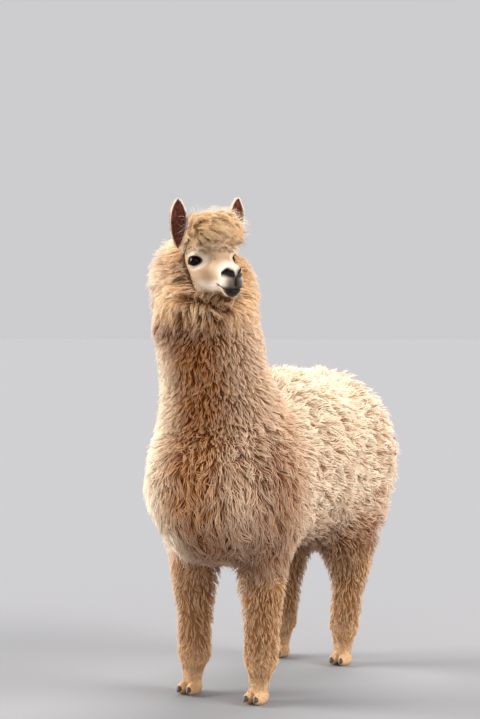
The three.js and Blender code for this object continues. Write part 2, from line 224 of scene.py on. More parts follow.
TRUNK = [
    Ball((0, 20, BARREL_MIDDLE), (BARREL_HALF_WIDTH - 6, 400, BARREL_HALF_HEIGHT - 6)),
    Ball((0, -356, 632), (213, 206, 245)),
    Ball((112, -235, 620), (118, 180, 225), both=True),
    Ball((0, 312, 652), (262, 226, 300)),
    Ball((116, 262, 500), (108, 155, 205), both=True),
]
NECK = chain(((0, -300, 700), 176), ((0, -345, 860), 159), ((0, -394, 1030), 143), ((-14, -392, 1098), 143))
COLLAR = Ball((-50, -341, 1199), (163, 110, 152), COLLAR_YAW)
FORE_LEG = [
    Limb((116, -280, 560), 98, (113, FORE_FOOT_Y + 2, 330), 68, both=True),
    Limb((113, FORE_FOOT_Y + 2, 330), 66, (LEG_HALF_TRACK, FORE_FOOT_Y, 120), 54, both=True),
]
HIND_LEG = [
    Limb((116, 262, 460), 108, (114, HIND_FOOT_Y + 34, 310), 68, both=True),
    Limb((114, HIND_FOOT_Y + 34, 310), 62, (LEG_HALF_TRACK, HIND_FOOT_Y, 120), 52, both=True),
]
PASTERNS = [Limb((LEG_HALF_TRACK, y - 4, 96), 36, (LEG_HALF_TRACK, y - 14, 34), 30, both=True)
            for y in (FORE_FOOT_Y, HIND_FOOT_Y)]
TOES = [Ball((LEG_HALF_TRACK + side * TOE_SPREAD, y - 28, 17), (16, 40, 21), both=True)
        for y in (FORE_FOOT_Y, HIND_FOOT_Y) for side in (-1, 1)]
TAIL = chain(((0, 480, 820), 32), ((0, 532, 700), 36), ((0, 546, 585), 22))

# The head's own space: x to its left, y backwards, z up from the eye line.
HEAD_SPACE = (Matrix.Translation(EYE_MIDPOINT) @ Matrix.Rotation(math.radians(HEAD_YAW), 4, "Z")
              @ Matrix.Rotation(-math.radians(HEAD_ROLL), 4, "Y"))
HEAD_AXES = np.array(HEAD_SPACE.to_3x3())
SKULL = [
    Ball((0, 56, 14), (60, 78, 56)),
    Ball((0, 8, -2), (50, 42, 40)),
    Ball((41, 38, -4), (25, 40, 36), both=True),
    Limb((0, -5, -22), 42, (0, -72, -46), 31),
    Limb((0, 25, -62), 42, (0, -62, -78), 22),
    Ball((34, 22, -42), (28, 48, 44), both=True),
    Ball((0, 18, -80), (47, 58, 37)),
]
MUZZLE = [
    Ball((46, 15, 15), (18, 24, 13), both=True),
    Ball((0, -94, -42), (27, 24, 23)),
    Ball((13, -92, -70), (18, 24, 21), both=True),
    Ball((0, -82, -94), (20, 24, 17)),
]
TOPKNOT = [
    Ball((4, 12, 84), (86, 72, 56)),
    Ball((14, -16, 60), (74, 38, 30)),
    Ball((-34, 30, 98), (38, 40, 34)),
]
EAR_RUFF = Ball((0, 122, 18), (120, 62, 72))
# The ears. Each one's tip and how many degrees it turns outwards are kept by side: 1 is the left.
EAR_ROOT = (76, 82, 34)
EAR_TIPS = {1: (106, 42, 175), -1: (-85, 42, 169)}
EAR_OUTWARD = {1: 4, -1: 20}
EAR_LENGTH = 143
EAR_HALF_WIDTH = 27
EAR_CUP = 17
EAR_WALL = 3.2


def to_head(p):
    """Points of the row, in the head's space."""
    return (p - EYE_MIDPOINT) @ HEAD_AXES


def from_head(points):
    """Points of the head's space, in the row."""
    return np.asarray(points, float) @ HEAD_AXES.T + EYE_MIDPOINT


def legs_field(p):
    return np.minimum(joined(40, FORE_LEG, p), joined(40, HIND_LEG, p))


def body_tips(p):
    """Tips of the coat on the trunk, neck, collar and legs."""
    return smooth_union(55, [joined(70, TRUNK, p), joined(60, NECK, p), COLLAR(p), legs_field(p)])


def head_field(h):
    return smooth_union(16, [joined(22, SKULL, h)] + [shape(h) for shape in MUZZLE])


# The middle of the throat and the height of its fold, in the row.
THROAT_X, THROAT_Y = -14, -392
FOLD_HEIGHT = 1144


def throat_fold(p):
    """How far points lie above the fold that the head presses into the wool of the throat, in mm,
    and how deep the fold is there, from 0 to 1."""
    turn = np.degrees(np.arctan2(p[:, 0] - THROAT_X, THROAT_Y - p[:, 1]))
    above = p[:, 2] - (FOLD_HEIGHT - 28 * smoothstep(34, 56, turn))
    return above, smoothstep(-12, 10, turn) * smoothstep(72, 54, turn) * smoothstep(-400, -450, p[:, 1])


def tips_field(p):
    """The whole outline out to the tips of the coat, without the ears."""
    h = to_head(p)
    wool = smooth_union(60, [body_tips(p), EAR_RUFF(h)])
    above, fold = throat_fold(p)
    wool = wool + fold * (28 * hump(above, 1, 6) - 11 * hump(above, -22, 15) - 8 * hump(above, 16, 9))
    body = smooth_union(26, [wool, head_field(h), joined(30, TOPKNOT, h)])
    feet = [shape(p) for shape in PASTERNS + TOES]
    return np.min([body, joined(20, TAIL, p), *feet], axis=0)


# --- features of the face
EYE_RADIUS = 21.0
EYE_CENTRE = np.array([48.5, 25.0, -5.0])
EYE_AXIS = unit(np.array([0.72, -0.69, 0.05]))
EYE_ALONG = unit(np.cross(UP, EYE_AXIS))
EYE_UPRIGHT = np.cross(EYE_AXIS, EYE_ALONG)
LID_THICKNESS = 2.6
LID_HALF_LENGTH = 21.0
LID_RISE = 12.2
LID_FALL = 11.2
NOSTRIL = chain(((6, -119, -56), 2.4), ((14, -115, -46), 6.4), ((21, -106, -41), 7.0), ((31, -90, -44), 1.6),
                both=True)
# Small dark freckles on the bridge and brow: place and radius.
FRECKLES = [((-24, -38, -2), 3.2), ((-19, -46, -9), 2.2), ((-46, -14, 25), 3.0),
            ((14, -50, 2), 2.4), ((30, -20, 16), 2.6)]
# How deep the skin lies under the outline where no setting says so, in mm.
FACE_FUR, TOE_FUR, PASTERN_FUR, TAIL_WOOL = 1.5, 1.5, 6, 20


def eye_place(h):
    """How far points of the head lie along, up and out from the middle of the nearer eye."""
    q = mirrored(h) - EYE_CENTRE
    return q @ EYE_ALONG, q @ EYE_UPRIGHT, q @ EYE_AXIS


def lid_reach(h):
    """1 on the edges of the lids, less in the opening, more outside it."""
    along, rise, _ = eye_place(h)
    height = np.where(rise > 0, LID_RISE, LID_FALL)
    return np.sqrt((along / LID_HALF_LENGTH) ** 2 + np.abs(rise / height) ** 1.8)


def lip_line(h):
    """How far points lie above the line between the lips, which rises from the front to its corner."""
    return h[:, 2] - (-90 + 17 * smoothstep(-108, -50, h[:, 1]))


def nostril_distance(h):
    return joined(3, NOSTRIL, h)


def face_skin(h):
    """The bare shape of the head under its short fur."""
    side, y, z = np.abs(h[:, 0]), h[:, 1], h[:, 2]
    lids = np.linalg.norm(mirrored(h) - EYE_CENTRE, axis=1) - (EYE_RADIUS + LID_THICKNESS)
    d = smooth_union(9, [head_field(h) + FACE_FUR, lids])
    _, rise, out = eye_place(h)
    reach = lid_reach(h)
    # The face is hollow in front of the eyes.
    hollow = np.exp(-(((h - [0, -24, -6]) * [0, 1 / 17, 1 / 17]) ** 2).sum(axis=1))
    d += 7.0 * hollow * smoothstep(14, 30, side)
    # A crease above the upper lid and a fainter one below the lower.
    d += 1.5 * hump(reach, 1.62, 0.16) * smoothstep(-2, 4, rise) * smoothstep(4, 10, out)
    d += 0.9 * hump(reach, 1.75, 0.2) * smoothstep(2, -5, rise) * smoothstep(4, 10, out)
    d = smooth_cut(1.6, d, np.maximum((reach - 1) * 9.5, 7 - out))
    # The slit of the mouth between two full lips, and the cleft of the upper one.
    front = smoothstep(-43, -54, y)
    line = lip_line(h)
    d += 4.2 * hump(line, 0, 1.9) * front
    d -= 1.6 * hump(line, 6, 5) * front + 1.3 * hump(line, -7, 5) * front
    cleft = 2.4 * hump(side, 0, 2.0) * smoothstep(-84, -78, z) * smoothstep(-50, -58, z)
    d += cleft * smoothstep(-96, -104, y)
    # Nostrils with a raised rim.
    slit = nostril_distance(h)
    d -= 1.6 * hump(slit, 3.4, 3.0) * smoothstep(-80, -90, y)
    return d + 8.0 * smoothstep(0.8, -3.4, slit)


def ear_root(side):
    return from_head([(side * EAR_ROOT[0], *EAR_ROOT[1:])])[0]


def ear_axes(side):
    """An ear's directions: towards its tip, out of its back, and across it."""
    root, tip = from_head([(side * EAR_ROOT[0], *EAR_ROOT[1:]), EAR_TIPS[side]])
    up = unit(tip - root)
    angle = math.radians(EAR_OUTWARD[side])
    back = HEAD_AXES @ np.array([-side * math.sin(angle), math.cos(angle), 0])
    back = unit(back - (back @ up) * up)
    return up, back, np.cross(back, up)


def ear_leaf(side, across, along):
    """Points of an ear's hollow: across runs from -1 to 1 between its rims, along from 0 to 1 at its
    tip."""
    up, back, over = ear_axes(side)
    along = np.clip(along, 0.0005, 0.9995)
    outline = np.sin(np.pi * along ** 1.27) ** (0.6 + 0.2 * along)
    wide = across * outline
    rolled = 1 - 0.16 * np.maximum(np.abs(across) - 0.75, 0) / 0.25 * outline
    return (ear_root(side) + (wide * rolled * EAR_HALF_WIDTH)[:, None] * over
            + (along * EAR_LENGTH)[:, None] * up + (1.5 - EAR_CUP * wide ** 2)[:, None] * back)


# --- the skin's shape
def wool_depth(p, settings):
    """How far the skin lies under the tips of the coat on the body, in mm."""
    leg, trunk, collar = in_mm(settings, "leg_depth", "trunk_depth", "collar_depth")
    heights = [0, 90, 150, 300, 430, 1080, 1160]
    return np.interp(p[:, 2], heights, [5, 7, leg * 0.75, leg, trunk, trunk, collar])


def skin_field(p, settings):
    """The one skin under the coat, from the nose to the feet."""
    body = body_tips(p) + wool_depth(p, settings)
    pasterns = np.min([shape(p) for shape in PASTERNS], axis=0) + PASTERN_FUR
    toes = np.min([shape(p) for shape in TOES], axis=0) + TOE_FUR
    legs = smooth_union(8, [smooth_union(14, [body, pasterns]), toes])
    h = to_head(p)
    topknot, collar = in_mm(settings, "topknot_depth", "collar_depth")
    crown = smooth_union(20, [joined(30, TOPKNOT, h) + topknot, EAR_RUFF(h) + collar])
    whole = smooth_union(30, [legs, smooth_union(14, [face_skin(h), crown])])
    tail = joined(20, TAIL, p) + TAIL_WOOL
    return np.maximum(smooth_union(20, [whole, tail]), 0.5 - p[:, 2])


def slope_of(field, p, distance, nudge=0.4):
    """A field's slope at points, from one more reading along each axis."""
    return np.stack([field(p + nudge * axis) - distance for axis in np.eye(3)], axis=1) / nudge


def settle(p, field, steps, reach=8.0):
    """Moves points along a field's slope on to its surface."""
    for _ in range(steps):
        distance = field(p)
        slope = slope_of(field, p, distance)
        step = -distance[:, None] * slope / np.maximum((slope ** 2).sum(axis=1), 0.3)[:, None]
        length = np.linalg.norm(step, axis=1, keepdims=True)
        p = p + step * np.minimum(1, reach / np.maximum(length, 1e-9))
    return p


# --- regions
# Where one kind of coat gives way to the next: the brow in the head's space, the others in the row.
BROW = 33
FOOT_TOP, LEG_TOP = 80, 400
COLLAR_EDGE = 1120
NECK_FRONT = -385


def face_edge(h):
    """Distance from the edge of the long wool, in mm: negative on the short fur of the face."""
    heights = [-110, -90, -70, -45, -20, 0, 30]
    back = h[:, 1] - np.interp(h[:, 2], heights, [2, 20, 40, 54, 66, 82, 88])
    return np.maximum(np.maximum(back, h[:, 2] - BROW), -113 + 22 * smoothstep(-70, -42, h[:, 1]) - h[:, 2])


def near_head(h):
    return np.linalg.norm(h - [0, 10, 0], axis=1) < 165


def in_face(p):
    h = to_head(p)
    return near_head(h) & (face_edge(h) < 0)


def in_topknot(p):
    h = to_head(p)
    return near_head(h) & (h[:, 2] > BROW) & (h[:, 1] < 84) & (face_edge(h) >= 0)


def on_brow(p):
    """The upper edge of the face, lower over the eyes' outer corners than between them."""
    h = to_head(p)
    return in_face(p) & (h[:, 2] > 23 - 5 * smoothstep(20, 44, np.abs(h[:, 0]))) & (h[:, 1] < 70)


def in_tail(p):
    return (joined(20, TAIL, p) < -8) & (p[:, 1] > 498)


def in_feet(p):
    return p[:, 2] < FOOT_TOP


def in_legs(p):
    return (p[:, 2] >= FOOT_TOP) & (p[:, 2] < LEG_TOP)


def above_withers(p):
    return (p[:, 1] + 360) * -0.52 + (p[:, 2] - 830) * 0.85 > 0


def above_neck(p):
    """How far points lie above the lower edge of the long wool round the head, which dips to a bib."""
    return p[:, 2] - COLLAR_EDGE + 44 * smoothstep(-350, -430, p[:, 1])


def in_bib(p):
    above, _ = throat_fold(p)
    return (above_neck(p) > 0) & (above < -3) & (p[:, 1] < NECK_FRONT) & ~in_face(p)


def in_collar(p):
    return (above_neck(p) > 0) & ~in_face(p) & ~in_topknot(p) & ~in_bib(p)


def in_neck(p):
    return above_withers(p) & (above_neck(p) <= 0) & ~in_face(p)


def in_trunk(p):
    return ~above_withers(p) & (p[:, 2] >= LEG_TOP) & ~in_tail(p)


# --- colours of skin and coat
def paint(colour, layers):
    """Lays some of the animal's colours over others: pairs of a colour's name and how much of it
    covers each point."""
    for shade, amount in layers:
        wanted = np.array(getattr(bpy.context.scene.alpaca_colours, shade))
        cover = np.broadcast_to(np.clip(amount, 0, 1), len(colour))[:, None]
        colour = colour + (wanted - colour) * cover
    return colour


def markings(p):
    """The colour of skin and coat alike at points of the body, with painted light and shade laid into it in
    places.
    """
    h, (x, y, z) = to_head(p), p.T
    front = smoothstep(-200, -340, y)
    on_neck = smoothstep(700, 860, z) * smoothstep(-200, -300, y)
    # A dark patch before the left shoulder: partly dust, partly painted shade in the fold between breast and
    # shoulder.
    dust_and_shade = np.exp(-(((p - [190, -350, 650]) / [75, 85, 150]) ** 2).sum(axis=1))
    on_collar = smoothstep(-5, 50, above_neck(p))
    above, fold = throat_fold(p)
    stain_and_shade = ripple(p, 190, 11)[:, 0] * 0.6 + ripple(p, 70, 12)[:, 0] * 0.4
    on_head = near_head(h) * 1.0
    # Painted shade under the bib.
    bib_shade = smoothstep(-380, -440, y) * hump(above_neck(p), -8, 48) * smoothstep(130, 60, np.abs(x + 20))
    colour = paint(np.zeros(p.shape), [
        ("side", 1),
        # Paler towards the top of the trunk and darker towards its bottom: partly the wool's own colour,
        # partly painted light from above and painted shade under the body.
        ("back", smoothstep(690, 900, z)),
        ("belly", smoothstep(600, 420, z) * 0.85),
        # The front of the neck and the breast take darker tan colours, the neck's right flank a paler one and
        # its left flank a darker one low down: partly the coat's own fawn, partly painted shade on the front
        # and painted light on the flanks from the side lights.
        ("chest", front),
        ("neck", on_neck),
        ("side", on_neck * smoothstep(10, 100, -x) * 0.95),
        ("belly", on_neck * smoothstep(50, 110, x) * smoothstep(1080, 1010, z) * 0.35),
        # The breast is painted paler on both flanks and darker low down: painted light from the side lights on
        # the flanks, painted shade below, and a patch of dust and painted shade in the fold before the left
        # shoulder.
        ("side", front * smoothstep(50, 125, x) * 0.7),
        ("belly", front * smoothstep(640, 480, z) * smoothstep(-140, -20, x) * 0.9),
        ("back", front * smoothstep(15, -120, x) * smoothstep(400, 500, z)),
        ("belly", dust_and_shade * 0.9),
        ("collar", on_collar),
        ("side", on_collar * smoothstep(80, 150, h[:, 1]) * 0.8),
        # Painted shadow in the throat's fold: a brown band round it and a near-black line along its bottom.
        ("belly", fold * hump(above, 4, 12)),
        ("horn", fold * hump(above, 1, 7) * 0.9),
        ("leg", smoothstep(420, 330, z)),
        ("stain_and_shade", 0.3 * smoothstep(0.1, 1.1, stain_and_shade)),
        # Painted shade, warm and dark, on the wool beside the face and under the bib, where shade falls
        # between the head and the coat.
        ("stain_and_shade", on_head * hump(face_edge(h), 12, 20) * smoothstep(40, 20, h[:, 2]) * 0.6),
        ("belly", bib_shade * 0.95),
        ("topknot", on_head * smoothstep(28, 44, h[:, 2]) * smoothstep(100, 70, h[:, 1])),
    ])
    return face_markings(colour, h, on_head)


def face_markings(colour, h, on_head):
    """Lays the pale face, dark nose, lips and lids over a colour."""
    side, y, z = np.abs(h[:, 0]), h[:, 1], h[:, 2]
    bare = on_head * smoothstep(6, -6, face_edge(h))
    mottle = 0.5 + 0.5 * ripple(h, 30, 14)[:, 0] + 0.2 * ripple(h, 11, 15)[:, 0]
    reach, out = lid_reach(h), eye_place(h)[2]
    by_eye = bare * smoothstep(3, 9, out)
    nose, slit = bare * smoothstep(-82, -90, y), nostril_distance(h)
    lips, line = bare * smoothstep(-42, -52, y), lip_line(h)
    lower = smoothstep(-19, -6, line) * smoothstep(3, -1, line)
    colour = paint(colour, [
        ("face", bare),
        ("stain_and_shade", bare * smoothstep(0.35, 1.1, mottle) * smoothstep(-88, -60, y) * 0.5),
        # Paler under the jaw: partly the pale fur of the chin, partly painted light standing in for light from
        # the ground below.
        ("pale", bare * smoothstep(-50, -80, z) * smoothstep(-70, -35, y)),
        ("pale", bare * smoothstep(-45, -85, y) * 0.75),
        ("pale", by_eye * hump(reach, 1.75, 0.45) * 0.6),
        ("leather", by_eye * smoothstep(1.38, 1.2, reach)),
        ("lip", nose * smoothstep(-50, -68, z) * smoothstep(36, 14, side) * 0.9),
        ("leather", nose * hump(side, 0, 10) * smoothstep(-46, -60, z) * 0.8),
        ("lip", nose * smoothstep(12, 3, slit) * 0.6),
        ("leather", nose * smoothstep(5.5, 0.5, slit)),
        ("lip", lips * hump(line, 4, 6) * smoothstep(-66, -100, y) * 0.9),
        ("lip", lips * smoothstep(-24, -12, line) * smoothstep(3, -1, line) * smoothstep(-70, -92, y) * 0.6),
        ("leather", lips * np.maximum(lower * smoothstep(-76, -96, y), hump(line, -1.5, 2.6))),
    ])
    return paint(colour, [
        ("leather", 0.75 * smoothstep(radius * 1.4, radius * 0.5, np.linalg.norm(h - place, axis=1)))
        for place, radius in FRECKLES])


# --- meshes
def read_points(mesh):
    """A mesh's vertices, in mm."""
    points = np.empty(len(mesh.vertices) * 3)
    mesh.vertices.foreach_get("co", points)
    return points.reshape(-1, 3) / MM


def set_attribute(mesh, name, kind, values):
    """Stores a value for each vertex."""
    attribute = mesh.attributes.new(name, kind, "POINT")
    key = {"FLOAT_COLOR": "color", "FLOAT_VECTOR": "vector"}.get(kind, "value")
    attribute.data.foreach_set(key, np.ascontiguousarray(values, dtype=np.float32).ravel())


def set_colours(mesh, colours):
    opaque = np.concatenate([colours, np.ones((len(colours), 1))], axis=1)
    set_attribute(mesh, "Coat", "FLOAT_COLOR", opaque)


def new_piece(name, mesh, materials, nodes=()):
    """Puts a finished mesh into the scene, riding on the animal."""
    piece = add_object(name, mesh)
    for material in materials:
        mesh.materials.append(material)
    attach(piece, "root")
    if nodes:
        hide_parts(*nodes)


def shade_smooth(mesh):
    mesh.polygons.foreach_set("use_smooth", np.ones(len(mesh.polygons), dtype=bool))
    mesh.update()


# --- materials
class Mix:
    """A material being mixed. Each call adds a node and gives one of its outputs."""

    def __init__(self, name):
        self.material = bpy.data.materials.new(name)
        self.material.use_nodes = True
        self.tree = self.material.node_tree
        self.tree.nodes.clear()

    def add(self, kind, inputs, output=0, **settings):
        """Settings are the node's properties; inputs give each socket a value or a link."""
        made = self.tree.nodes.new("ShaderNode" + kind)
        for name, value in settings.items():
            setattr(made, name, value)
        for key, value in inputs.items():
            named = [s for s in made.inputs if s.name == key and s.enabled]
            socket = named[0] if named else made.inputs[key]
            if isinstance(value, bpy.types.NodeSocket):
                self.tree.links.new(value, socket)
            else:
                socket.default_value = value
        return made.outputs[output] if len(made.outputs) else None

    def attribute(self, name, output):
        return self.add("Attribute", {}, output, attribute_name=name)

    def place(self):
        return self.add("TexCoord", {}, "Object")

    def noise(self, size, detail, place=None):
        """Noise in blots about size mm across."""
        place = self.place() if place is None else place
        return self.add("TexNoise", {"Vector": place, "Scale": 1 / (size * MM), "Detail": detail}, "Fac")

    def spread(self, noise, low, high):
        """Noise drawn out to run from low to high."""
        reach = {"From Min": 0.3, "From Max": 0.7, "To Min": low, "To Max": high}
        return self.add("MapRange", {"Value": noise, **reach})

    def scaled(self, colour, amount):
        return self.add("VectorMath", {0: colour, "Scale": amount}, operation="SCALE")

    def bump(self, height, strength, depth):
        """Relief up to depth mm deep."""
        return self.add("Bump", {"Height": height, "Strength": strength, "Distance": depth * MM})

    def ramp(self, value, stops):
        """A colour ramp through stops: pairs of place and linear colour."""
        made = self.add("ValToRGB", {"Fac": value})
        elements = made.node.color_ramp.elements
        while len(elements) < len(stops):
            elements.new(0.5)
        for element, (place, colour) in zip(elements, stops):
            element.position = place
            element.color = (*colour, 1.0)
        return made

    def finish(self, surface):
        """Ends the material with a surface: the inputs of its one shader."""
        self.add("OutputMaterial", {"Surface": self.add("BsdfPrincipled", surface)})
        return self.material


def wool_material(name, root, middle, bleach, sheen, glow=0.15):
    """Huacaya wool, grown and weathered: darker and warmer down in the fleece, paler at the tips. It is
    matt, with a soft glow at its edges from the fine fibres. The darkening towards the roots is painted
    shade down in the fleece, warmed as light would be between its fibres; the paler tips are partly
    sun-bleaching and partly a painted highlight where they stand out at the coat's edges. root and middle
    are how dark the painted shade makes the wool at its roots and half way up, bleach how far its tips
    fade to cream, and glow how much light passes through."""
    mix = Mix(name)
    fibre = mix.attribute("Fibre", "Vector")
    height = mix.add("SeparateXYZ", {"Vector": fibre}, "Y")
    # Painted shade: darker and warmer towards the root of each tuft, down in the fleece.
    depth = mix.ramp(height, [(0.0, (root, root ** 1.55, root ** 2.3)),
                              (0.5, (middle, middle ** 1.6, middle ** 2.5)), (1.0, (1.06, 1.02, 0.98))])
    # Grease and dust gather in patches about 25 mm across.
    dust_and_shade = mix.spread(mix.noise(25, 3.0), 0.88, 1.06)
    # A lock holds thousands of fibres; only a few lie across each tuft, so that they show.
    strands = mix.add("TexNoise", {"Vector": fibre, "Scale": 1.0, "Detail": 2.0}, "Fac")
    shade = mix.add("Math", {0: dust_and_shade, 1: mix.spread(strands, 0.84, 1.1)}, operation="MULTIPLY")
    tinted = mix.add("VectorMath", {0: mix.attribute("Coat", "Color"), 1: depth}, operation="MULTIPLY")
    # The outer half of each fibre fades to cream: partly sun-bleaching, partly a painted highlight on the tips
    # at the coat's edges.
    bleached = mix.add("MapRange", {"Value": height, "From Min": 0.5, "From Max": 1.0, "To Max": bleach})
    cream = (*linear("#fdebd6"), 1.0)
    tipped = mix.add("Mix", {"Factor": bleached, "A": tinted, "B": cream}, 2, data_type="RGBA")
    return mix.finish({
        "Base Color": mix.scaled(tipped, shade), "Normal": mix.bump(strands, 0.5, 0.6),
        "Roughness": 0.92, "IOR": 1.5, "Specular IOR Level": 0.1,
        "Subsurface Weight": glow, "Subsurface Radius": (1.0, 1.0, 1.0), "Subsurface Scale": 2 * MM,
        "Sheen Weight": sheen, "Sheen Roughness": 0.5, "Sheen Tint": (1.0, 0.82, 0.62, 1.0)})


def skin_material():
    """Skin under short fur: fine pale hair lying flat, and smooth dark leather where it is bare round
    the nostrils, lips and lids."""
    mix = Mix("short_fur_skin")
    # Hairs a tenth of a millimetre thick are drawn at 1.2 mm, three times as long along the head.
    lie = mix.add("Mapping", {"Vector": mix.place(), "Rotation": (0, 0, -math.radians(HEAD_YAW)),
                              "Scale": (1.0, 0.3, 0.8)}, vector_type="TEXTURE")
    hairs = mix.noise(1.2, 3.0, lie)
    return mix.finish({
        "Base Color": mix.scaled(mix.attribute("Coat", "Color"), mix.spread(hairs, 0.86, 1.06)),
        "Normal": mix.bump(hairs, 0.6, 0.7), "Roughness": 0.6, "IOR": 1.45, "Specular IOR Level": 0.25,
        "Sheen Weight": 0.08, "Sheen Roughness": 0.4, "Sheen Tint": (1.0, 0.95, 0.88, 1.0)})


def ear_material(colours):
    """Bare skin inside the ear: dark and warm, with blood showing through, and mottled with grey down."""
    mix = Mix("ear_hollow_skin")
    mottle = mix.noise(9, 4.0)
    inner = np.array(colours.ear_inner)
    return mix.finish({
        "Base Color": mix.ramp(mottle, [(0.3, inner * 0.45), (0.5, inner), (0.72, inner * 1.9)]),
        "Normal": mix.bump(mottle, 0.3, 0.8), "Roughness": 0.6, "IOR": 1.4, "Specular IOR Level": 0.3})


def eye_material(colours):
    """A wet eye: a nearly black brown iris round a long pupil, under a clear, polished cornea."""
    mix = Mix("wet_eye")
    pupil, brown, white = linear("#050404"), colours.iris, linear("#0c0908")
    stops = [(0.0, pupil), (0.4, pupil), (0.48, brown), (0.85, brown), (0.95, white)]
    # Fibres of the iris, about 2 mm apart.
    fibres = mix.add("MapRange", {"Value": mix.noise(2, 2.0), "To Min": 0.6, "To Max": 1.3})
    return mix.finish({
        "Base Color": mix.scaled(mix.ramp(mix.attribute("Iris", "Fac"), stops), fibres),
        "Roughness": 0.3, "IOR": 1.38, "Specular IOR Level": 0.0,
        "Coat Weight": 0.35, "Coat Roughness": 0.03, "Coat IOR": 1.38})


def horn_material(colours):
    """Toenail horn, grown in rings and worn on the ground: dark, slightly greasy, duller in the rings."""
    mix = Mix("nail_horn")
    # Growth rings 4 mm apart; a wave's bands are about a third of one over its scale.
    bands = {"Vector": mix.place(), "Scale": 1 / (3.1 * 4 * MM), "Distortion": 1.5}
    rings = mix.add("TexWave", bands, "Fac", wave_type="BANDS", bands_direction="Y")
    dark = np.array(colours.horn)
    return mix.finish({"Base Color": mix.ramp(rings, [(0.0, dark), (1.0, 2.2 * dark)]),
                       "Normal": mix.bump(rings, 0.4, 0.5), "Roughness": 0.5, "IOR": 1.54})


def floor_material(colours):
    """Painted studio floor: pale, matt and even, with a faint roller texture."""
    mix = Mix("painted_floor")
    return mix.finish({"Base Color": (*colours.floor, 1.0), "Normal": mix.bump(mix.noise(8, 2.0), 0.1, 0.2),
                       "Roughness": 1.0, "Specular IOR Level": 0.0})


# --- the coat
def skin_patch(keep):
    """The part of the skin that keep accepts, without the ears: its points and normals, and its
    triangles' corners."""
    mesh = bpy.data.objects["skin"].data
    mesh.calc_loop_triangles()
    corners = np.empty(len(mesh.loop_triangles) * 3, dtype=np.int32)
    mesh.loop_triangles.foreach_get("vertices", corners)
    corners = corners.reshape(-1, 3)
    normals = np.empty(len(mesh.vertices) * 3)
    mesh.vertex_normals.foreach_get("vector", normals)
    points = read_points(mesh)
    owner = np.empty(len(mesh.loop_triangles), dtype=np.int32)
    mesh.loop_triangles.foreach_get("material_index", owner)
    chosen = keep(points[corners].mean(axis=1)) & (owner == 0)
    return points, normals.reshape(-1, 3), corners[chosen]


def roots_on(patch, spacing, rng):
    """Roots spread evenly over a patch about spacing mm apart, and their normals. Six are drawn for
    each square of that side, and thinned by a grid."""
    points, normals, corners = patch
    a, b, c = (points[corners[:, i]] for i in range(3))
    area = np.linalg.norm(np.cross(b - a, c - a), axis=1) / 2
    count = int(area.sum() / spacing ** 2 * 6) + 8
    pick = rng.choice(len(corners), count, p=area / area.sum())
    u, v = rng.random((2, count, 1))
    over = u + v > 1
    u, v = np.where(over, 1 - u, u), np.where(over, 1 - v, v)
    place = a[pick] * (1 - u - v) + b[pick] * u + c[pick] * v
    na, nb, nc = (normals[corners[pick, i]] for i in range(3))
    facing = unit(na * (1 - u - v) + nb * u + nc * v)
    # A plane crosses about 1.5 cubes for each square of a cube's side, and one root is kept in each.
    cell = np.floor(place / (spacing * 1.22)).astype(np.int64)
    _, first = np.unique(cell @ np.array([1, 4096, 4096 * 4096]), return_index=True)
    first.sort()
    return place[first], facing[first]


def nearest_of(points, targets):
    """For each point, which target is nearest."""
    tree = KDTree(len(targets))
    for i, target in enumerate(targets):
        tree.insert(target, i)
    tree.balance()
    return np.array([tree.find(point)[1] for point in points])


def lean(raw, normals):
    """Directions laid down on the surface."""
    return unit(raw - (raw * normals).sum(axis=1, keepdims=True) * normals)


class Lay:
    """How one kind of wool grows. Lengths are in mm: the gap between tufts, the size of a lock, a
    tuft's width and how far it drapes. Each tuft has some rings and fills the coat to its reach.
    clump is how far tufts gather into their lock, curl and turns the lock's wave, stray and wander
    how far tufts and locks leave the flow, loose the share that have left their lock, rise how soon
    they stand up, uneven how their drapes vary, sunk and lumps how low some lie, passes how often
    their heights are corrected, tone how their colours vary, and deep the deepest coat."""
    rings, reach, clump, curl, turns, stray, loose, rise = 3, 1.0, 0.75, 0.0, 1.0, 0.2, 0.15, 1.8
    uneven, sunk, passes, tone, wander, deep, lumps = 0.25, 0.2, 1, 0.1, 0.3, 90.0, 0.0

    def __init__(self, gap, lock, width, drape, **changes):
        self.gap, self.lock, self.width, self.drape = gap, lock, width, drape
        vars(self).update(changes)


def centre_lines(roots, normals, flow, rise, drape, depth, steps):
    """Points along each tuft, standing up out of the skin and then lying down along the flow."""
    t = steps[None, :, None]
    up = normals[:, None, :] * depth[:, None, None] * (1 - (1 - t) ** rise)
    over = flow[:, None, :] * drape[:, None, None] * t ** 1.3
    return roots[:, None, :] + up + over


def conform(lines, full, depth, reach, steps, lay):
    """Brings every point of each tuft to its own height in the coat. full is how deep the skin lies
    under the outline at the root, and depth how much of that the wool fills."""
    height = depth[:, None] * (1 - (1 - steps[None, 1:]) ** lay.rise) * reach[:, None]
    wanted = (height - full[:, None]).ravel()
    flat = lines[:, 1:].reshape(-1, 3)
    for _ in range(lay.passes):
        distance = tips_field(flat)
        slope = slope_of(tips_field, flat, distance, 1.0)
        step = (wanted - distance) / np.maximum((slope ** 2).sum(axis=1), 0.4)
        flat = flat + slope * np.clip(step, -35, 35)[:, None]
    lines[:, 1:] = flat.reshape(lines[:, 1:].shape)
    return lines


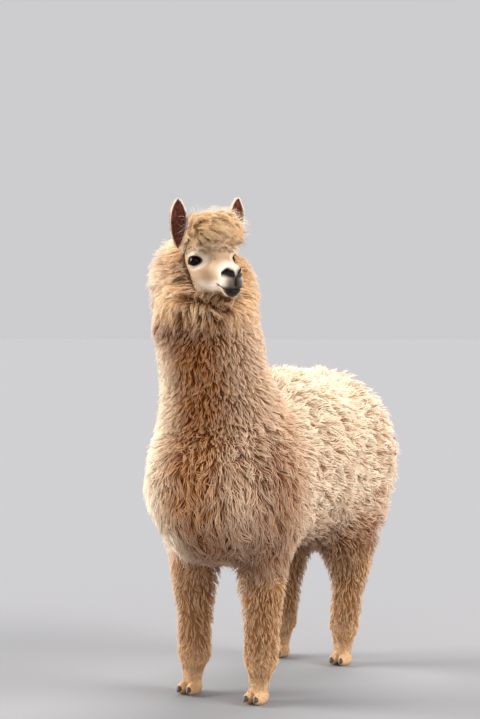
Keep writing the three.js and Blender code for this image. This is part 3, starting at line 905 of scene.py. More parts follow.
def grow(keep, lay, flow_of, seed, drape_of=None, thin=None, fill_of=None):
    """Grows one kind of wool over part of the skin: for each tuft its root, line, width and colour.
    keep says where it grows and flow_of which way it lies. For each root drape_of may give its drape,
    thin its chance of growing, and fill_of how deep the wool is there."""
    rng = np.random.default_rng(seed)
    patch = skin_patch(keep)
    roots, normals = roots_on(patch, lay.gap, rng)
    if thin is not None:
        kept = rng.random(len(roots)) < thin(roots)
        roots, normals = roots[kept], normals[kept]
    lock_roots, lock_normals = roots_on(patch, lay.lock, rng)
    steps = np.linspace(0, 1, lay.rings + 1)

    def lie(places, facing, strength):
        wild = ripple(places, 60, seed + 1) * lay.wander + rng.normal(size=places.shape) * strength
        return lean(flow_of(places, facing) + wild, facing)

    def lay_out(places, facing, strength):
        full = np.maximum(-tips_field(places), 1.0)
        depth = np.minimum(full, lay.deep if fill_of is None else fill_of(places))
        drape = np.full(len(places), float(lay.drape)) if drape_of is None else drape_of(places)
        drape = drape * rng.uniform(1 - lay.uneven, 1 + lay.uneven, len(places))
        drape = drape * smoothstep(-4, 22, depth) if fill_of is not None else drape
        flow = lie(places, facing, strength)
        return full, depth, centre_lines(places, facing, flow, lay.rise, drape, depth, steps)

    _, _, lock_lines = lay_out(lock_roots, lock_normals, lay.wander)
    full, depth, lines = lay_out(roots, normals, lay.stray)
    mine = nearest_of(roots + ripple(roots, 30, seed + 2) * lay.lock * 0.25, lock_roots)
    # Some tufts have left their lock: they are thinner, paler and stand out a little.
    loose = rng.random(len(roots)) < lay.loose
    pull = lay.clump * rng.uniform(0.6, 1.1, len(roots)) * np.where(loose, 0.3, 1.0)
    gather = np.clip(pull[:, None, None] * steps[None, :, None] ** 1.5, 0, 0.95)
    lines += (lock_lines[mine] - lines) * gather
    lock_reach = 1 - lay.sunk * rng.random(len(lock_roots)) ** 2
    reach = lay.reach * lock_reach[mine] * rng.uniform(0.84, 1.05, len(roots)) * np.where(loose, 1.1, 1.0)
    reach = reach * (1 - lay.lumps * smoothstep(0.1, 1.2, ripple(roots, 75, seed + 3)[:, 0]))
    lines = conform(lines, full, depth, reach, steps, lay)
    lines[:, 1:-1] = lines[:, 1:-1] / 2 + (lines[:, :-2] + lines[:, 2:]) / 4
    if lay.curl:
        lines += curls(lines, normals, lay, mine, len(lock_roots), steps, rng)
    lock_tone = rng.normal(1.0, lay.tone * 0.7, len(lock_roots))
    tone = lock_tone[mine] * rng.normal(1.0, lay.tone, len(roots)) * np.where(loose, 1.12, 1.0)
    width = lay.width * rng.uniform(0.7, 1.3, len(roots)) * np.where(loose, 0.65, 1.0)
    return {"roots": roots, "normals": normals, "lines": lines, "width": width,
            "colour": markings(roots) * tone[:, None]}


def curls(lines, normals, lay, mine, locks, steps, rng):
    """A wave that all tufts of a lock share: an offset for each of their points."""
    along = unit(lines[:, -1] - lines[:, 0])
    side = unit(np.cross(along, normals))
    over = np.cross(side, along)
    phase = rng.uniform(0, 2 * np.pi, locks)[mine] + rng.normal(size=len(mine)) * 0.5
    turns = lay.turns * rng.uniform(0.75, 1.25, locks)[mine]
    size = lay.curl * rng.uniform(0.5, 1.3, locks)[mine]
    angle = 2 * np.pi * turns[:, None] * steps[None, :] + phase[:, None]
    swell = size[:, None] * steps[None, :] ** 0.8
    wave = (np.cos(angle) - np.cos(phase)[:, None]) * swell
    lift = np.sin(angle) * swell * 0.5
    return wave[:, :, None] * side[:, None, :] + lift[:, :, None] * over[:, None, :]


# How far a tuft's foot goes into the skin and all wool stays off the ground, in mm, and how many
# fibres show across a tuft.
FOOT_SUNK = 1.2
GROUND_GAP = 0.3
FIBRES_ACROSS = 6


def tuft_mesh(name, grown, unwrap, softness, thickness):
    """One mesh of closed three-sided tufts along their lines. Wool scatters light as one soft mass, so
    softness is how far its normals lean towards the body's. Thickness is a tuft's, over its width."""
    roots, normals, lines, width, colour = (
        grown[key] for key in ("roots", "normals", "lines", "width", "colour"))
    count, points = lines.shape[0], lines.shape[1]
    rings = points - 1
    t = np.linspace(0, 1, points)[:-1]
    profile = (0.75 + 0.9 * t) * (1 - t) ** 0.6
    along = np.gradient(lines, axis=1)
    side = unit(np.cross(along, normals[:, None, :]))
    over = unit(np.cross(side, along))
    half = width[:, None, None] * profile[None, :, None] / 2
    turn = [math.radians(angle) for angle in (330, 210, 90)]
    round_it = [side[:, :-1] * math.cos(a) + over[:, :-1] * thickness * math.sin(a) for a in turn]
    body = np.stack([lines[:, :-1] + half * out for out in round_it], axis=2).reshape(count, rings * 3, 3)
    body[:, :3] -= normals[:, None, :] * FOOT_SUNK
    vertices = np.concatenate([body, lines[:, -1:]], axis=1).reshape(-1, 3)
    vertices[:, 2] = np.maximum(vertices[:, 2], GROUND_GAP)

    triangles = [(0, 2, 1)]
    for ring in range(rings - 1):
        for k in range(3):
            a, b = ring * 3 + k, ring * 3 + (k + 1) % 3
            triangles += [(a, b, b + 3), (a, b + 3, a + 3)]
    last = (rings - 1) * 3
    triangles += [(last + k, last + (k + 1) % 3, rings * 3) for k in range(3)]
    triangles = np.array(triangles)
    size = rings * 3 + 1
    corner = (triangles[None] + (np.arange(count) * size)[:, None, None]).reshape(-1)

    mesh = bpy.data.meshes.new(name)
    mesh.vertices.add(len(vertices))
    mesh.vertices.foreach_set("co", (vertices * MM).astype(np.float32).ravel())
    mesh.loops.add(len(corner))
    mesh.loops.foreach_set("vertex_index", corner.astype(np.int32))
    mesh.polygons.add(len(corner) // 3)
    mesh.polygons.foreach_set("loop_start", np.arange(0, len(corner), 3, dtype=np.int32))
    mesh.update(calc_edges=True)
    shade_smooth(mesh)
    facing = normals[:, None, :] * softness
    outward = np.stack(round_it, axis=2).reshape(count, rings * 3, 3) * (1 - softness) + facing
    outward = np.concatenate([outward, unit(along[:, -1:]) * (1 - softness) + facing], axis=1)
    mesh.normals_split_custom_set_from_vertices(unit(outward).reshape(-1, 3).astype(np.float32))

    set_colours(mesh, np.repeat(np.clip(colour, 0, 1), size, axis=0))
    # Fibre holds how far a point is across its tuft, along it, and a number that tells tufts apart.
    ramp = np.append(np.repeat(t, 3), 1.0)
    across = np.append(np.tile([0.0, 0.5, 1.0], rings), 0.5)
    number = np.repeat(np.arange(count) * 7.3, size)
    fibre = np.stack([np.tile(across * FIBRES_ACROSS, count), np.tile(ramp, count), number], axis=1)
    set_attribute(mesh, "Fibre", "FLOAT_VECTOR", fibre)
    # Each tuft takes a patch 0.003 across, at its root's place on the unwrapped skin, inside a margin.
    patch = 0.003 * np.stack([across, ramp], axis=1)
    place = 0.002 + 0.993 * unwrap(roots)
    uv = (place[:, None, :] + patch[None, :, :]).reshape(-1, 2)
    layer = mesh.uv_layers.new(name="OFBake")
    layer.data.foreach_set("uv", uv[corner].astype(np.float32).ravel())
    return mesh


def scaled(value, low, high):
    return np.clip((value - low) / (high - low), 0, 1)


def round_unwrap(axis, middle, low, high):
    """An unwrap of skin that runs round an axis (0, 1 or 2): turn across, distance along the axis up."""
    across, up = [i for i in range(3) if i != axis]

    def unwrap(p):
        angle = np.arctan2(p[:, across] - middle[across], p[:, up] - middle[up]) / (2 * np.pi) + 0.5
        return np.stack([angle, scaled(p[:, axis], low, high)], axis=1)
    return unwrap


def leg_unwrap(p):
    """Each leg unwraps round its own axis into a quarter of the square."""
    left, hind = p[:, 0] > 0, p[:, 1] > -20
    centre_y = np.where(hind, HIND_FOOT_Y + 20, FORE_FOOT_Y)
    angle = np.arctan2(np.abs(p[:, 0]) - LEG_HALF_TRACK, p[:, 1] - centre_y) / (2 * np.pi) + 0.5
    return np.stack([(angle + left) / 2, (scaled(p[:, 2], 0, 440) + hind) / 2], axis=1)


def head_unwrap(p):
    """The head unwraps round the line from the nose to the nape."""
    h = to_head(p)
    angle = np.arctan2(h[:, 0], h[:, 2] + 15) / (2 * np.pi) + 0.5
    return np.stack([angle, scaled(h[:, 1], -130, 170)], axis=1)


def fill_by_face(places):
    """Wool starts short at the edge of the face and reaches its full depth a hand's breadth away."""
    return 10 + 1.1 * np.maximum(face_edge(to_head(places)), 0)


def fill_by_brow(places):
    """Wool of the crown starts longer at its edge, and deepens sooner."""
    return 14 + 1.3 * np.maximum(face_edge(to_head(places)), 0)


# Which way the coat lies.
def trunk_flow(p, n):
    """Backwards and down over the trunk, straight down on the breast."""
    front = smoothstep(-170, -330, p[:, 1])[:, None]
    back = np.stack([p[:, 0] / 260 * 0.6, np.full(len(p), 0.85), np.full(len(p), -0.75)], axis=1)
    breast = np.stack([p[:, 0] / 260 * 0.25, np.full(len(p), 0.1), np.full(len(p), -1.0)], axis=1)
    return back * (1 - front) + breast * front


def hanging(out, back=0.0):
    """Wool that hangs down, leaning out from the body and backwards."""
    return lambda p, n: np.tile([0.0, back, -1.0], (len(p), 1)) + n * [out, out, 0]


neck_flow, bib_flow, leg_flow = hanging(0.3), hanging(0.25), hanging(0.0, 0.12)


def collar_flow(p, n):
    """Away from the face all round, and straight down in the bib."""
    h = to_head(p) - [0, -30, -10]
    away = unit(h) @ HEAD_AXES.T
    above, fold = throat_fold(p)
    hung = (fold * smoothstep(50, 30, above))[:, None]
    raw = away * [1, 1, 0.6] + [0, 0, -0.5] - smoothstep(1150, 1120, p[:, 2])[:, None] * [0, 0, 0.8]
    return raw * (1 - hung) + (n * [0.35, 0.35, 0] + [0, 0, -1]) * hung


COLLAR_DRAPE = 46


def collar_drape(p):
    """Wool above the fold of the throat ends at it."""
    above, fold = throat_fold(p)
    short = np.where(above > 0, np.clip(above * 0.7, 5, COLLAR_DRAPE), COLLAR_DRAPE)
    return COLLAR_DRAPE + (short - COLLAR_DRAPE) * fold


def off_the_fold(p):
    """No wool grows in the bottom of the throat's fold."""
    above, fold = throat_fold(p)
    return 1 - (fold > 0.3) * (np.abs(above - 1) < 3)


def topknot_flow(p, n):
    """Out from the middle of the crown, mostly forward over the brow and to its left."""
    h = to_head(p)
    raw = np.stack([h[:, 0] / 160 + 0.5, (h[:, 1] - 50) / 110 - 0.6, np.full(len(h), -0.4)], axis=1)
    return raw @ HEAD_AXES.T
def face_flow(p, n):
    """Up from the nose and back over the cheeks."""
    h = to_head(p)
    raw = np.stack([h[:, 0] / 60 * 0.2, np.full(len(h), 1.0), np.where(h[:, 2] < -60, -0.4, 0.25)], axis=1)
    return raw @ HEAD_AXES.T


# --- settings
def length_setting(name, description, default):
    return FloatProperty(name=name, description=description, default=default, min=0.0, unit="LENGTH",
                         subtype="DISTANCE")


def depth_setting(name, wool, default):
    return length_setting(name, "How deep the skin lies under " + wool, default)


def gap_setting(name, region, default):
    return length_setting(name, "Distance between the roots of two tufts on the " + region, default)


def colour_setting(name, description, default):
    return FloatVectorProperty(name=name, description=description, default=linear(default), size=3, min=0.0,
                               max=1.0, subtype="COLOR")


class AlpacaShape(bpy.types.PropertyGroup):
    facet: length_setting("Skin facet", "Size of the skin's facets on the body", 0.008)
    trunk_depth: depth_setting("Trunk fleece depth", "the trunk's fleece", 0.037)
    collar_depth: depth_setting("Collar depth", "the wool round the head", 0.046)
    topknot_depth: depth_setting("Topknot depth", "the wool of the crown", 0.028)
    leg_depth: depth_setting("Leg wool depth", "the wool of the legs", 0.022)


class AlpacaCoat(bpy.types.PropertyGroup):
    fleece_gap: gap_setting("Fleece gap", "trunk", 0.0062)
    neck_gap: gap_setting("Neck gap", "neck and collar", 0.0046)
    topknot_gap: gap_setting("Topknot gap", "crown", 0.0025)
    leg_gap: gap_setting("Leg gap", "legs", 0.0062)
    face_gap: gap_setting("Face gap", "face", 0.0028)
    strand: length_setting("Strand width", "Width of one tuft of the fleece", 0.003)
    lock_size: length_setting("Lock size", "Distance between the middles of two locks on the trunk", 0.02)
    fleece_drape: length_setting("Fleece drape", "How far a tuft of the trunk lies along the body", 0.034)
    breast_drape: length_setting("Breast drape", "How far the long locks of the breast hang", 0.075)
    seed: IntProperty(name="Seed", description="Start of the coat's random numbers", default=7, min=0)


class AlpacaColours(bpy.types.PropertyGroup):
    # Back: partly sun-bleached wool, partly painted light on the top of the trunk; it is also the painted
    # light on the breast's right flank.
    back: colour_setting("Back", "Sun-bleached wool along the back", "#f8e6d0")
    side: colour_setting("Side", "Wool of the sides", "#f6ddc6")
    # Belly: a dark brown that is partly stain and partly painted shade under the trunk; it is also the painted
    # shade under the bib, in the throat's fold, at the shoulder and low on the breast.
    belly: colour_setting("Belly", "Stained wool of the belly and under the thighs", "#8c5428")
    # Chest and neck: the coat's own fawn, darkened with painted shade on the front of the breast and neck.
    chest: colour_setting("Chest", "Wool of the breast", "#c5864a")
    neck: colour_setting("Neck", "Wool of the front of the neck", "#b8752f")
    collar: colour_setting("Collar", "Wool round the face", "#f6d0a4")
    topknot: colour_setting("Topknot", "Wool of the crown and brow", "#ffca90")
    leg: colour_setting("Leg", "Wool of the legs", "#cfa981")
    face: colour_setting("Face", "Short fur of the face", "#bc9f82")
    pale: colour_setting("Pale fur", "White fur of the muzzle and below the eyes", "#f3e6d6")
    # Stain: patches of dust in the fleece, also used as painted shade beside the face.
    stain_and_shade: colour_setting("Stain", "Patches of dust in the fleece", "#c08f5e")
    leather: colour_setting("Leather", "Bare skin of the nostrils, lips and lids", "#17100d")
    lip: colour_setting("Lip", "Bare skin of the upper lip", "#40332a")
    ear_inner: colour_setting("Inner ear", "Skin inside the ears", "#5c3025")
    iris: colour_setting("Iris", "Iris of the eyes", "#0d0807")
    horn: colour_setting("Horn", "Toenails", "#2c241d")
    floor: colour_setting("Floor", "Studio floor", "#8d8e92")


def strength_setting(name, description, default):
    return FloatProperty(name=name, description=description, default=default, min=0.0)


class AlpacaStage(bpy.types.PropertyGroup):
    key: strength_setting("Key", "Strength of the light above and behind", 2.5)
    rim: strength_setting("Rim", "Strength of each light behind the flanks", 2.3)
    fill: strength_setting("Fill", "Strength of each light in front", 0.8)
    room: strength_setting("Room", "Strength of the even light of the room", 0.62)


# --- skin
FLESH = sorted(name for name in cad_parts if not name.startswith(("eye_", "nail_")))
# How far the plain shapes of the crown are shrunk, before the skin settles at its own depth.
CROWN_WOOL = 28


def body_mesh(settings):
    """Plain shapes of the whole body fused into one closed mesh by a voxel remesh."""
    bm = bmesh.new()
    row = Matrix.Identity(4)
    trunk, collar, leg = in_mm(settings, "trunk_depth", "collar_depth", "leg_depth")
    for shapes, space, shrink in (
            (TRUNK + NECK, row, trunk), ([COLLAR], row, collar), (FORE_LEG + HIND_LEG, row, leg),
            (PASTERNS, row, PASTERN_FUR), (TOES, row, TOE_FUR), (TAIL, row, TAIL_WOOL),
            (SKULL + MUZZLE, HEAD_SPACE, FACE_FUR), (TOPKNOT, HEAD_SPACE, CROWN_WOOL)):
        for shape in shapes:
            shape.add_to(bm, space, shrink)
    mesh = finished(bm, "body")
    body = add_object("body", mesh)
    remesh = body.modifiers.new("Fuse", "REMESH")
    remesh.mode = "VOXEL"
    remesh.voxel_size = settings.facet
    graph = bpy.context.evaluated_depsgraph_get()
    fused = bpy.data.meshes.new_from_object(body.evaluated_get(graph))
    bpy.data.objects.remove(body)
    bpy.data.meshes.remove(mesh)
    return fused


def settle_vertices(vertices, settings, steps):
    points = np.array([v.co for v in vertices]) / MM
    points = settle(points, lambda p: skin_field(p, settings), steps) * MM
    for vertex, point in zip(vertices, points):
        vertex.co = point


def soften(bm, vertices, settings):
    """Evens out vertices and lays them back on the skin's shape."""
    bmesh.ops.smooth_vert(bm, verts=vertices, factor=0.5, use_axis_x=True, use_axis_y=True, use_axis_z=True)
    settle_vertices(vertices, settings, 2)


def refine(bm, wanted, settings, smooth):
    """Divides the faces whose middles are wanted, and lays the new points on the skin's shape."""
    middles = np.array([f.calc_center_median() for f in bm.faces]) / MM
    edges = {e for f, yes in zip(bm.faces, wanted(middles)) if yes for e in f.edges}
    bmesh.ops.subdivide_edges(bm, edges=list(edges), cuts=1, use_grid_fill=True)
    bm.verts.ensure_lookup_table()
    places = np.array([v.co for v in bm.verts]) / MM
    vertices = [v for v, yes in zip(bm.verts, wanted(places)) if yes]
    settle_vertices(vertices, settings, 2)
    for _ in range(smooth):
        soften(bm, vertices, settings)


def by_features(p):
    """Round the eyes, nostrils and lips."""
    h = to_head(p)
    eyes = (lid_reach(h) < 2.1) & (eye_place(h)[2] > 2)
    nose = (h[:, 1] < -78) & (nostril_distance(h) < 9)
    lips = (h[:, 1] < -52) & (np.abs(lip_line(h)) < 9)
    cleft = (h[:, 1] < -92) & (np.abs(h[:, 0]) < 7)
    return near_head(h) & (eyes | nose | lips | cleft)


def add_ears(bm):
    """Cupped leaves of gristle under thin skin. The hollow takes the second material, the back the third."""
    for side in (-1, 1):
        _, back, over = ear_axes(side)
        root = Vector(ear_root(side) * MM)
        made = bmesh.ops.create_grid(bm, x_segments=18, y_segments=34, size=1.0)["verts"]
        flat = np.array([v.co for v in made])
        for vertex, place in zip(made, ear_leaf(side, flat[:, 0], (flat[:, 1] + 1) / 2)):
            vertex.co = place * MM
        bmesh.ops.remove_doubles(bm, verts=made, dist=0.05 * MM)
        leaf = list({f for v in made if v.is_valid for f in v.link_faces})
        shell = bmesh.ops.solidify(bm, geom=leaf, thickness=EAR_WALL * MM)["geom"]
        leaf += [f for f in shell if isinstance(f, bmesh.types.BMFace)]
        leaf = list({f for face in leaf for v in face.verts for f in v.link_faces})
        bmesh.ops.recalc_face_normals(bm, faces=leaf)
        for face in leaf:
            place = (face.calc_center_median() - root).dot(Vector(over))
            on_rim = face.normal.dot(Vector(over)) * math.copysign(1, place) > 0.3
            face.material_index = 1 if face.normal.dot(Vector(back)) < 0 and not on_rim else 2


class ALPACA_OT_skin(bpy.types.Operator):
    """Make the one skin from the nose to the toes, with the lids, nostrils, lips and ears"""
    bl_idname = "alpaca.skin"
    bl_label = "Skin"

    def execute(self, context):
        settings = context.scene.alpaca_shape
        mesh = body_mesh(settings)
        bm = bmesh.new()
        bm.from_mesh(mesh)
        settle_vertices(list(bm.verts), settings, 4)
        soften(bm, list(bm.verts), settings)
        for region, smooth in ((in_face, 1), (in_face, 1), (by_features, 2)):
            refine(bm, region, settings, smooth)
        bmesh.ops.recalc_face_normals(bm, faces=bm.faces)
        add_ears(bm)
        bm.to_mesh(mesh)
        bm.free()
        if len(mesh.vertices) < 10000:
            raise RuntimeError("the skin came out empty")
        mesh.name = "skin"
        points = read_points(mesh)
        past_tips = tips_field(points)
        # Painted shade: the skin is darker where the coat covers it deeply, like the shade down in the fleece.
        shade_under_coat = smoothstep(4, 20, -past_tips)[:, None]
        on_ears = smoothstep(2, 8, past_tips) * near_head(to_head(points))
        colour = paint(markings(points), [("pale", on_ears * 0.8)])
        set_colours(mesh, colour * (1 - [0.6, 0.72, 0.8] * shade_under_coat))
        shade_smooth(mesh)
        fur = skin_material()
        new_piece("skin", mesh, [fur, ear_material(context.scene.alpaca_colours), fur], FLESH)
        return {"FINISHED"}


# --- eyes and nails
class ALPACA_OT_eyes(bpy.types.Operator):
    """Make the two eyeballs, with their irises"""
    bl_idname = "alpaca.eyes"
    bl_label = "Eyes"

    def execute(self, context):
        material = eye_material(context.scene.alpaca_colours)
        for name, side in (("left", 1), ("right", -1)):
            bm = bmesh.new()
            centre = from_head([EYE_CENTRE * [side, 1, 1]])[0]
            bmesh.ops.create_uvsphere(bm, u_segments=48, v_segments=32, radius=EYE_RADIUS * MM,
                                      matrix=Matrix.Translation(centre * MM))
            mesh = finished(bm, "eyeball_" + name)
            along, rise, out = eye_place(to_head(read_points(mesh)))
            # A pupil wider than it is high; the white and the back of the ball are past 1.
            ring = np.where(out > 0, np.hypot(along / 1.35, rise) / (EYE_RADIUS * 0.62), 1.0)
            set_attribute(mesh, "Iris", "FLOAT", ring)
            shade_smooth(mesh)
            new_piece(mesh.name, mesh, [material], ["eye_" + name])
        return {"FINISHED"}


NAIL_LENGTH = 26
TOE_REACH = 60


def nail_mesh(name, x, y):
    """A toenail: a horn point, keeled on top, flat beneath and turned down at its end."""
    bm = bmesh.new()
    made = bmesh.ops.create_uvsphere(bm, u_segments=24, v_segments=14, radius=1)["verts"]
    for vertex in made:
        forward = max(-vertex.co.y, 0)
        taper = 1 - 0.52 * forward
        keel = 1 + 0.12 * max(vertex.co.z, 0) * (1 - abs(vertex.co.x))
        low = 0.82 if vertex.co.z < 0 else 1.0
        vertex.co = Vector((vertex.co.x * 8.5 * taper, vertex.co.y * NAIL_LENGTH / 2,
                            vertex.co.z * 9 * taper * keel * low - 4.5 * forward ** 2)) * MM
    place = Matrix.Translation(Vector((x, y, 17)) * MM) @ Matrix.Rotation(math.radians(12), 4, "X")
    bmesh.ops.transform(bm, matrix=place, verts=made)
    mesh = finished(bm, name)
    shade_smooth(mesh)
    return mesh


class ALPACA_OT_nails(bpy.types.Operator):
    """Make the eight toenails"""
    bl_idname = "alpaca.nails"
    bl_label = "Nails"

    def execute(self, context):
        material = horn_material(context.scene.alpaca_colours)
        for which, y in (("fore", FORE_FOOT_Y), ("hind", HIND_FOOT_Y)):
            for hand, side in (("left", 1), ("right", -1)):
                for toe, step in (("inner", -1), ("outer", 1)):
                    name = f"{toe}_{which}_{hand}"
                    x = side * (LEG_HALF_TRACK + step * TOE_SPREAD)
                    mesh = nail_mesh("horn_" + name, x, y - TOE_REACH)
                    new_piece("horn_" + name, mesh, [material], ["nail_" + name])
        return {"FINISHED"}


# --- coat pieces
def coat_pieces(grown, material, parts, unwrap, softness=0.5, thickness=0.7):
    """Splits grown wool into pieces: parts gives each piece's name and the test for its roots."""
    left = np.ones(len(grown["roots"]), dtype=bool)
    for name, test in parts.items():
        mine = left & test(grown["roots"])
        left &= ~mine
        share = {key: value[mine] for key, value in grown.items()}
        new_piece(name, tuft_mesh(name, share, unwrap, softness, thickness), [material])
    if left.any():
        raise RuntimeError(f"{left.sum()} tufts fall in none of {list(parts)}")


def everywhere(p):
    return np.ones(len(p), dtype=bool)


def on_left(p):
    return p[:, 0] > 0


def in_front(p):
    return p[:, 1] < -20


# Where the breast ends, the rump begins and the wisps start, along and up the row.
BREAST_BACK = -190
RUMP_FROM = 140
WISPS_FROM = 1290


class ALPACA_OT_fleece(bpy.types.Operator):
    """Grow the trunk's fleece: locks laid back and down, hanging long on the breast"""
    bl_idname = "alpaca.fleece"
    bl_label = "Trunk fleece"

    def execute(self, context):
        coat = context.scene.alpaca_coat
        gap, lock, strand, fall = in_mm(coat, "fleece_gap", "lock_size", "strand", "fleece_drape")
        material = wool_material("fleece_wool", 0.42, 0.92, 0.42, 0.3)
        unwrap = round_unwrap(1, (0, 0, BARREL_MIDDLE), -570, 560)

        def on_breast(p):
            return in_trunk(p) & (p[:, 1] < BREAST_BACK)

        def drape(p):
            hang = smoothstep(BREAST_BACK, -330, p[:, 1]) * smoothstep(760, 560, p[:, 2])
            return (coat.fleece_drape + (coat.breast_drape - coat.fleece_drape) * hang) / MM

        def sparse(p):
            return 1 - 0.35 * smoothstep(RUMP_FROM, 300, p[:, 1]) - 0.3 * smoothstep(520, 440, p[:, 2])

        lay = Lay(gap * 0.93, lock * 0.8, strand, fall, rings=4, clump=0.78, curl=5, turns=1.1, rise=1.6,
                  uneven=0.35, tone=0.12, wander=0.35, reach=1.04, lumps=0.2)
        grown = grow(on_breast, lay, trunk_flow, coat.seed, drape)
        pieces = {"fleece_breast_left": on_left, "fleece_breast_right": everywhere}
        coat_pieces(grown, material, pieces, unwrap)
        lay = Lay(gap, lock, strand * 1.1, fall, rings=4, clump=0.84, curl=6, rise=1.5, uneven=0.35,
                  tone=0.14, wander=0.5, reach=1.08, sunk=0.6, lumps=0.3)
        grown = grow(lambda p: in_trunk(p) & ~on_breast(p), lay, trunk_flow, coat.seed + 5, thin=sparse)
        pieces = {
            "fleece_side_left": lambda p: on_left(p) & (p[:, 1] < RUMP_FROM),
            "fleece_side_right": lambda p: p[:, 1] < RUMP_FROM,
            "fleece_rump_left": on_left,
            "fleece_rump_right": everywhere,
        }
        coat_pieces(grown, material, pieces, unwrap)
        return {"FINISHED"}


class ALPACA_OT_neck(bpy.types.Operator):
    """Grow the neck's crimped wool and the long wool that stands round the face"""
    bl_idname = "alpaca.neck"
    bl_label = "Neck and collar wool"

    def execute(self, context):
        coat = context.scene.alpaca_coat
        gap, strand = in_mm(coat, "neck_gap", "strand")
        material = wool_material("neck_wool", 0.36, 0.88, 0.34, 0.3)
        lay = Lay(gap, 11, strand * 0.9, 25, rings=4, clump=0.78, curl=3.5, turns=1.2, stray=0.12, rise=1.45,
                  tone=0.12, wander=0.32, reach=1.02)
        grown = grow(in_neck, lay, neck_flow, coat.seed + 10)
        pieces = {"wool_neck_front": lambda p: p[:, 1] < NECK_FRONT, "wool_neck_back": everywhere}
        coat_pieces(grown, material, pieces, round_unwrap(2, (-5, -380, 0), 680, 1180))
        lay = Lay(gap * 0.75, 17, strand * 0.7, COLLAR_DRAPE, rings=4, clump=0.84, curl=4.5, turns=0.85,
                  stray=0.08, uneven=0.3, rise=1.6, passes=2, tone=0.08, reach=1.1, sunk=0.4)
        grown = grow(in_collar, lay, collar_flow, coat.seed + 20, collar_drape, off_the_fold, fill_by_face)
        pieces = {"wool_collar_left": lambda p: to_head(p)[:, 0] > 0, "wool_collar_right": everywhere}
        coat_pieces(grown, material, pieces, head_unwrap)
        lay = Lay(gap * 0.68, 13, strand * 0.62, 58, rings=5, clump=0.85, curl=2.8, turns=0.9, stray=0.05,
                  loose=0.08, uneven=0.5, rise=2.1, passes=2, wander=0.16, reach=1.08, sunk=0.5)
        grown = grow(in_bib, lay, bib_flow, coat.seed + 25)
        coat_pieces(grown, material, {"wool_bib": everywhere}, head_unwrap)
        return {"FINISHED"}


class ALPACA_OT_topknot(bpy.types.Operator):
    """Grow the crown's long wool, fallen forward over the brow, and its flyaway wisps"""
    bl_idname = "alpaca.topknot"
    bl_label = "Topknot"

    def execute(self, context):
        coat = context.scene.alpaca_coat
        gap, strand = in_mm(coat, "topknot_gap", "strand")
        material = wool_material("topknot_wool", 0.8, 1.0, 0.25, 0.35, 0.1)
        lay = Lay(gap * 0.9, 15, strand * 0.45, 42, rings=5, clump=0.86, curl=4, turns=0.9, stray=0.08,
                  uneven=0.4, passes=2, wander=0.35, reach=1.08, sunk=0.5, lumps=0.2)
        grown = grow(in_topknot, lay, topknot_flow, coat.seed + 30, fill_of=fill_by_brow)
        coat_pieces(grown, material, {"wool_topknot": everywhere}, head_unwrap, 0.6)
        # Short curls spread from under the fringe on to the brow.
        lay = Lay(gap * 1.1, 9, strand * 0.5, 16, rings=4, clump=0.8, curl=3.2, turns=1.3, uneven=0.4,
                  rise=1.3, passes=0, wander=0.8, deep=11)
        grown = grow(on_brow, lay, topknot_flow, coat.seed + 37)
        coat_pieces(grown, material, {"curls_brow": everywhere}, head_unwrap, 0.6)
        lay = Lay(6, 24, 0.9, 44, rings=4, clump=0.4, curl=4, turns=0.6, stray=0.5, loose=0.0, uneven=0.6,
                  rise=1.2, reach=1.75, passes=2, tone=0.05)
        grown = grow(lambda p: in_topknot(p) & (p[:, 2] > WISPS_FROM), lay, topknot_flow, coat.seed + 35)
        grown["colour"] = paint(grown["colour"], [("pale", 0.7)])
        coat_pieces(grown, material, {"wisps": everywhere}, head_unwrap)
        return {"FINISHED"}


class ALPACA_OT_legs(bpy.types.Operator):
    """Grow the wool of the legs, the short fur of the feet, and the tail"""
    bl_idname = "alpaca.legs"
    bl_label = "Legs and tail"

    def execute(self, context):
        coat = context.scene.alpaca_coat
        gap, strand = in_mm(coat, "leg_gap", "strand")
        material = wool_material("leg_wool", 0.42, 0.8, 0.35, 0.3)
        lay = Lay(gap, 12, strand * 0.9, 26, clump=0.8, curl=3, sunk=0.4, lumps=0.15)
        grown = grow(in_legs, lay, leg_flow, coat.seed + 40)
        pieces = {"wool_legs_fore": in_front, "wool_legs_hind": everywhere}
        coat_pieces(grown, material, pieces, leg_unwrap)
        lay = Lay(gap * 0.8, 9, 1.8, 11, rings=2, clump=0.4, stray=0.15)
        grown = grow(in_feet, lay, leg_flow, coat.seed + 50)
        coat_pieces(grown, material, {"fur_feet": everywhere}, leg_unwrap)
        lay = Lay(gap * 0.75, 14, strand, 46, rings=4, curl=5, tone=0.12)
        grown = grow(in_tail, lay, leg_flow, coat.seed + 60)
        unwrap = round_unwrap(2, (0, 530, 0), 560, 860)
        coat_pieces(grown, material, {"wool_tail": everywhere}, unwrap)
        return {"FINISHED"}


def furry(p):
    """How much of the fur stands up: all of it at the edges of the face, least in its middle, and none
    on bare skin."""
    h = to_head(p)
    bare = (lid_reach(h) < 1.45) | ((nostril_distance(h) < 5) & (h[:, 1] < -78))
    lips = (h[:, 1] < -54) & (np.abs(lip_line(h)) < 7)
    cleft = (h[:, 1] < -92) & (h[:, 2] < -50) & (np.abs(h[:, 0]) < 9)
    middle = smoothstep(-12, -34, face_edge(h)) * smoothstep(50, 30, np.abs(h[:, 0]))
    return np.where(bare | lips | cleft, 0.0, 1 - 0.8 * middle)


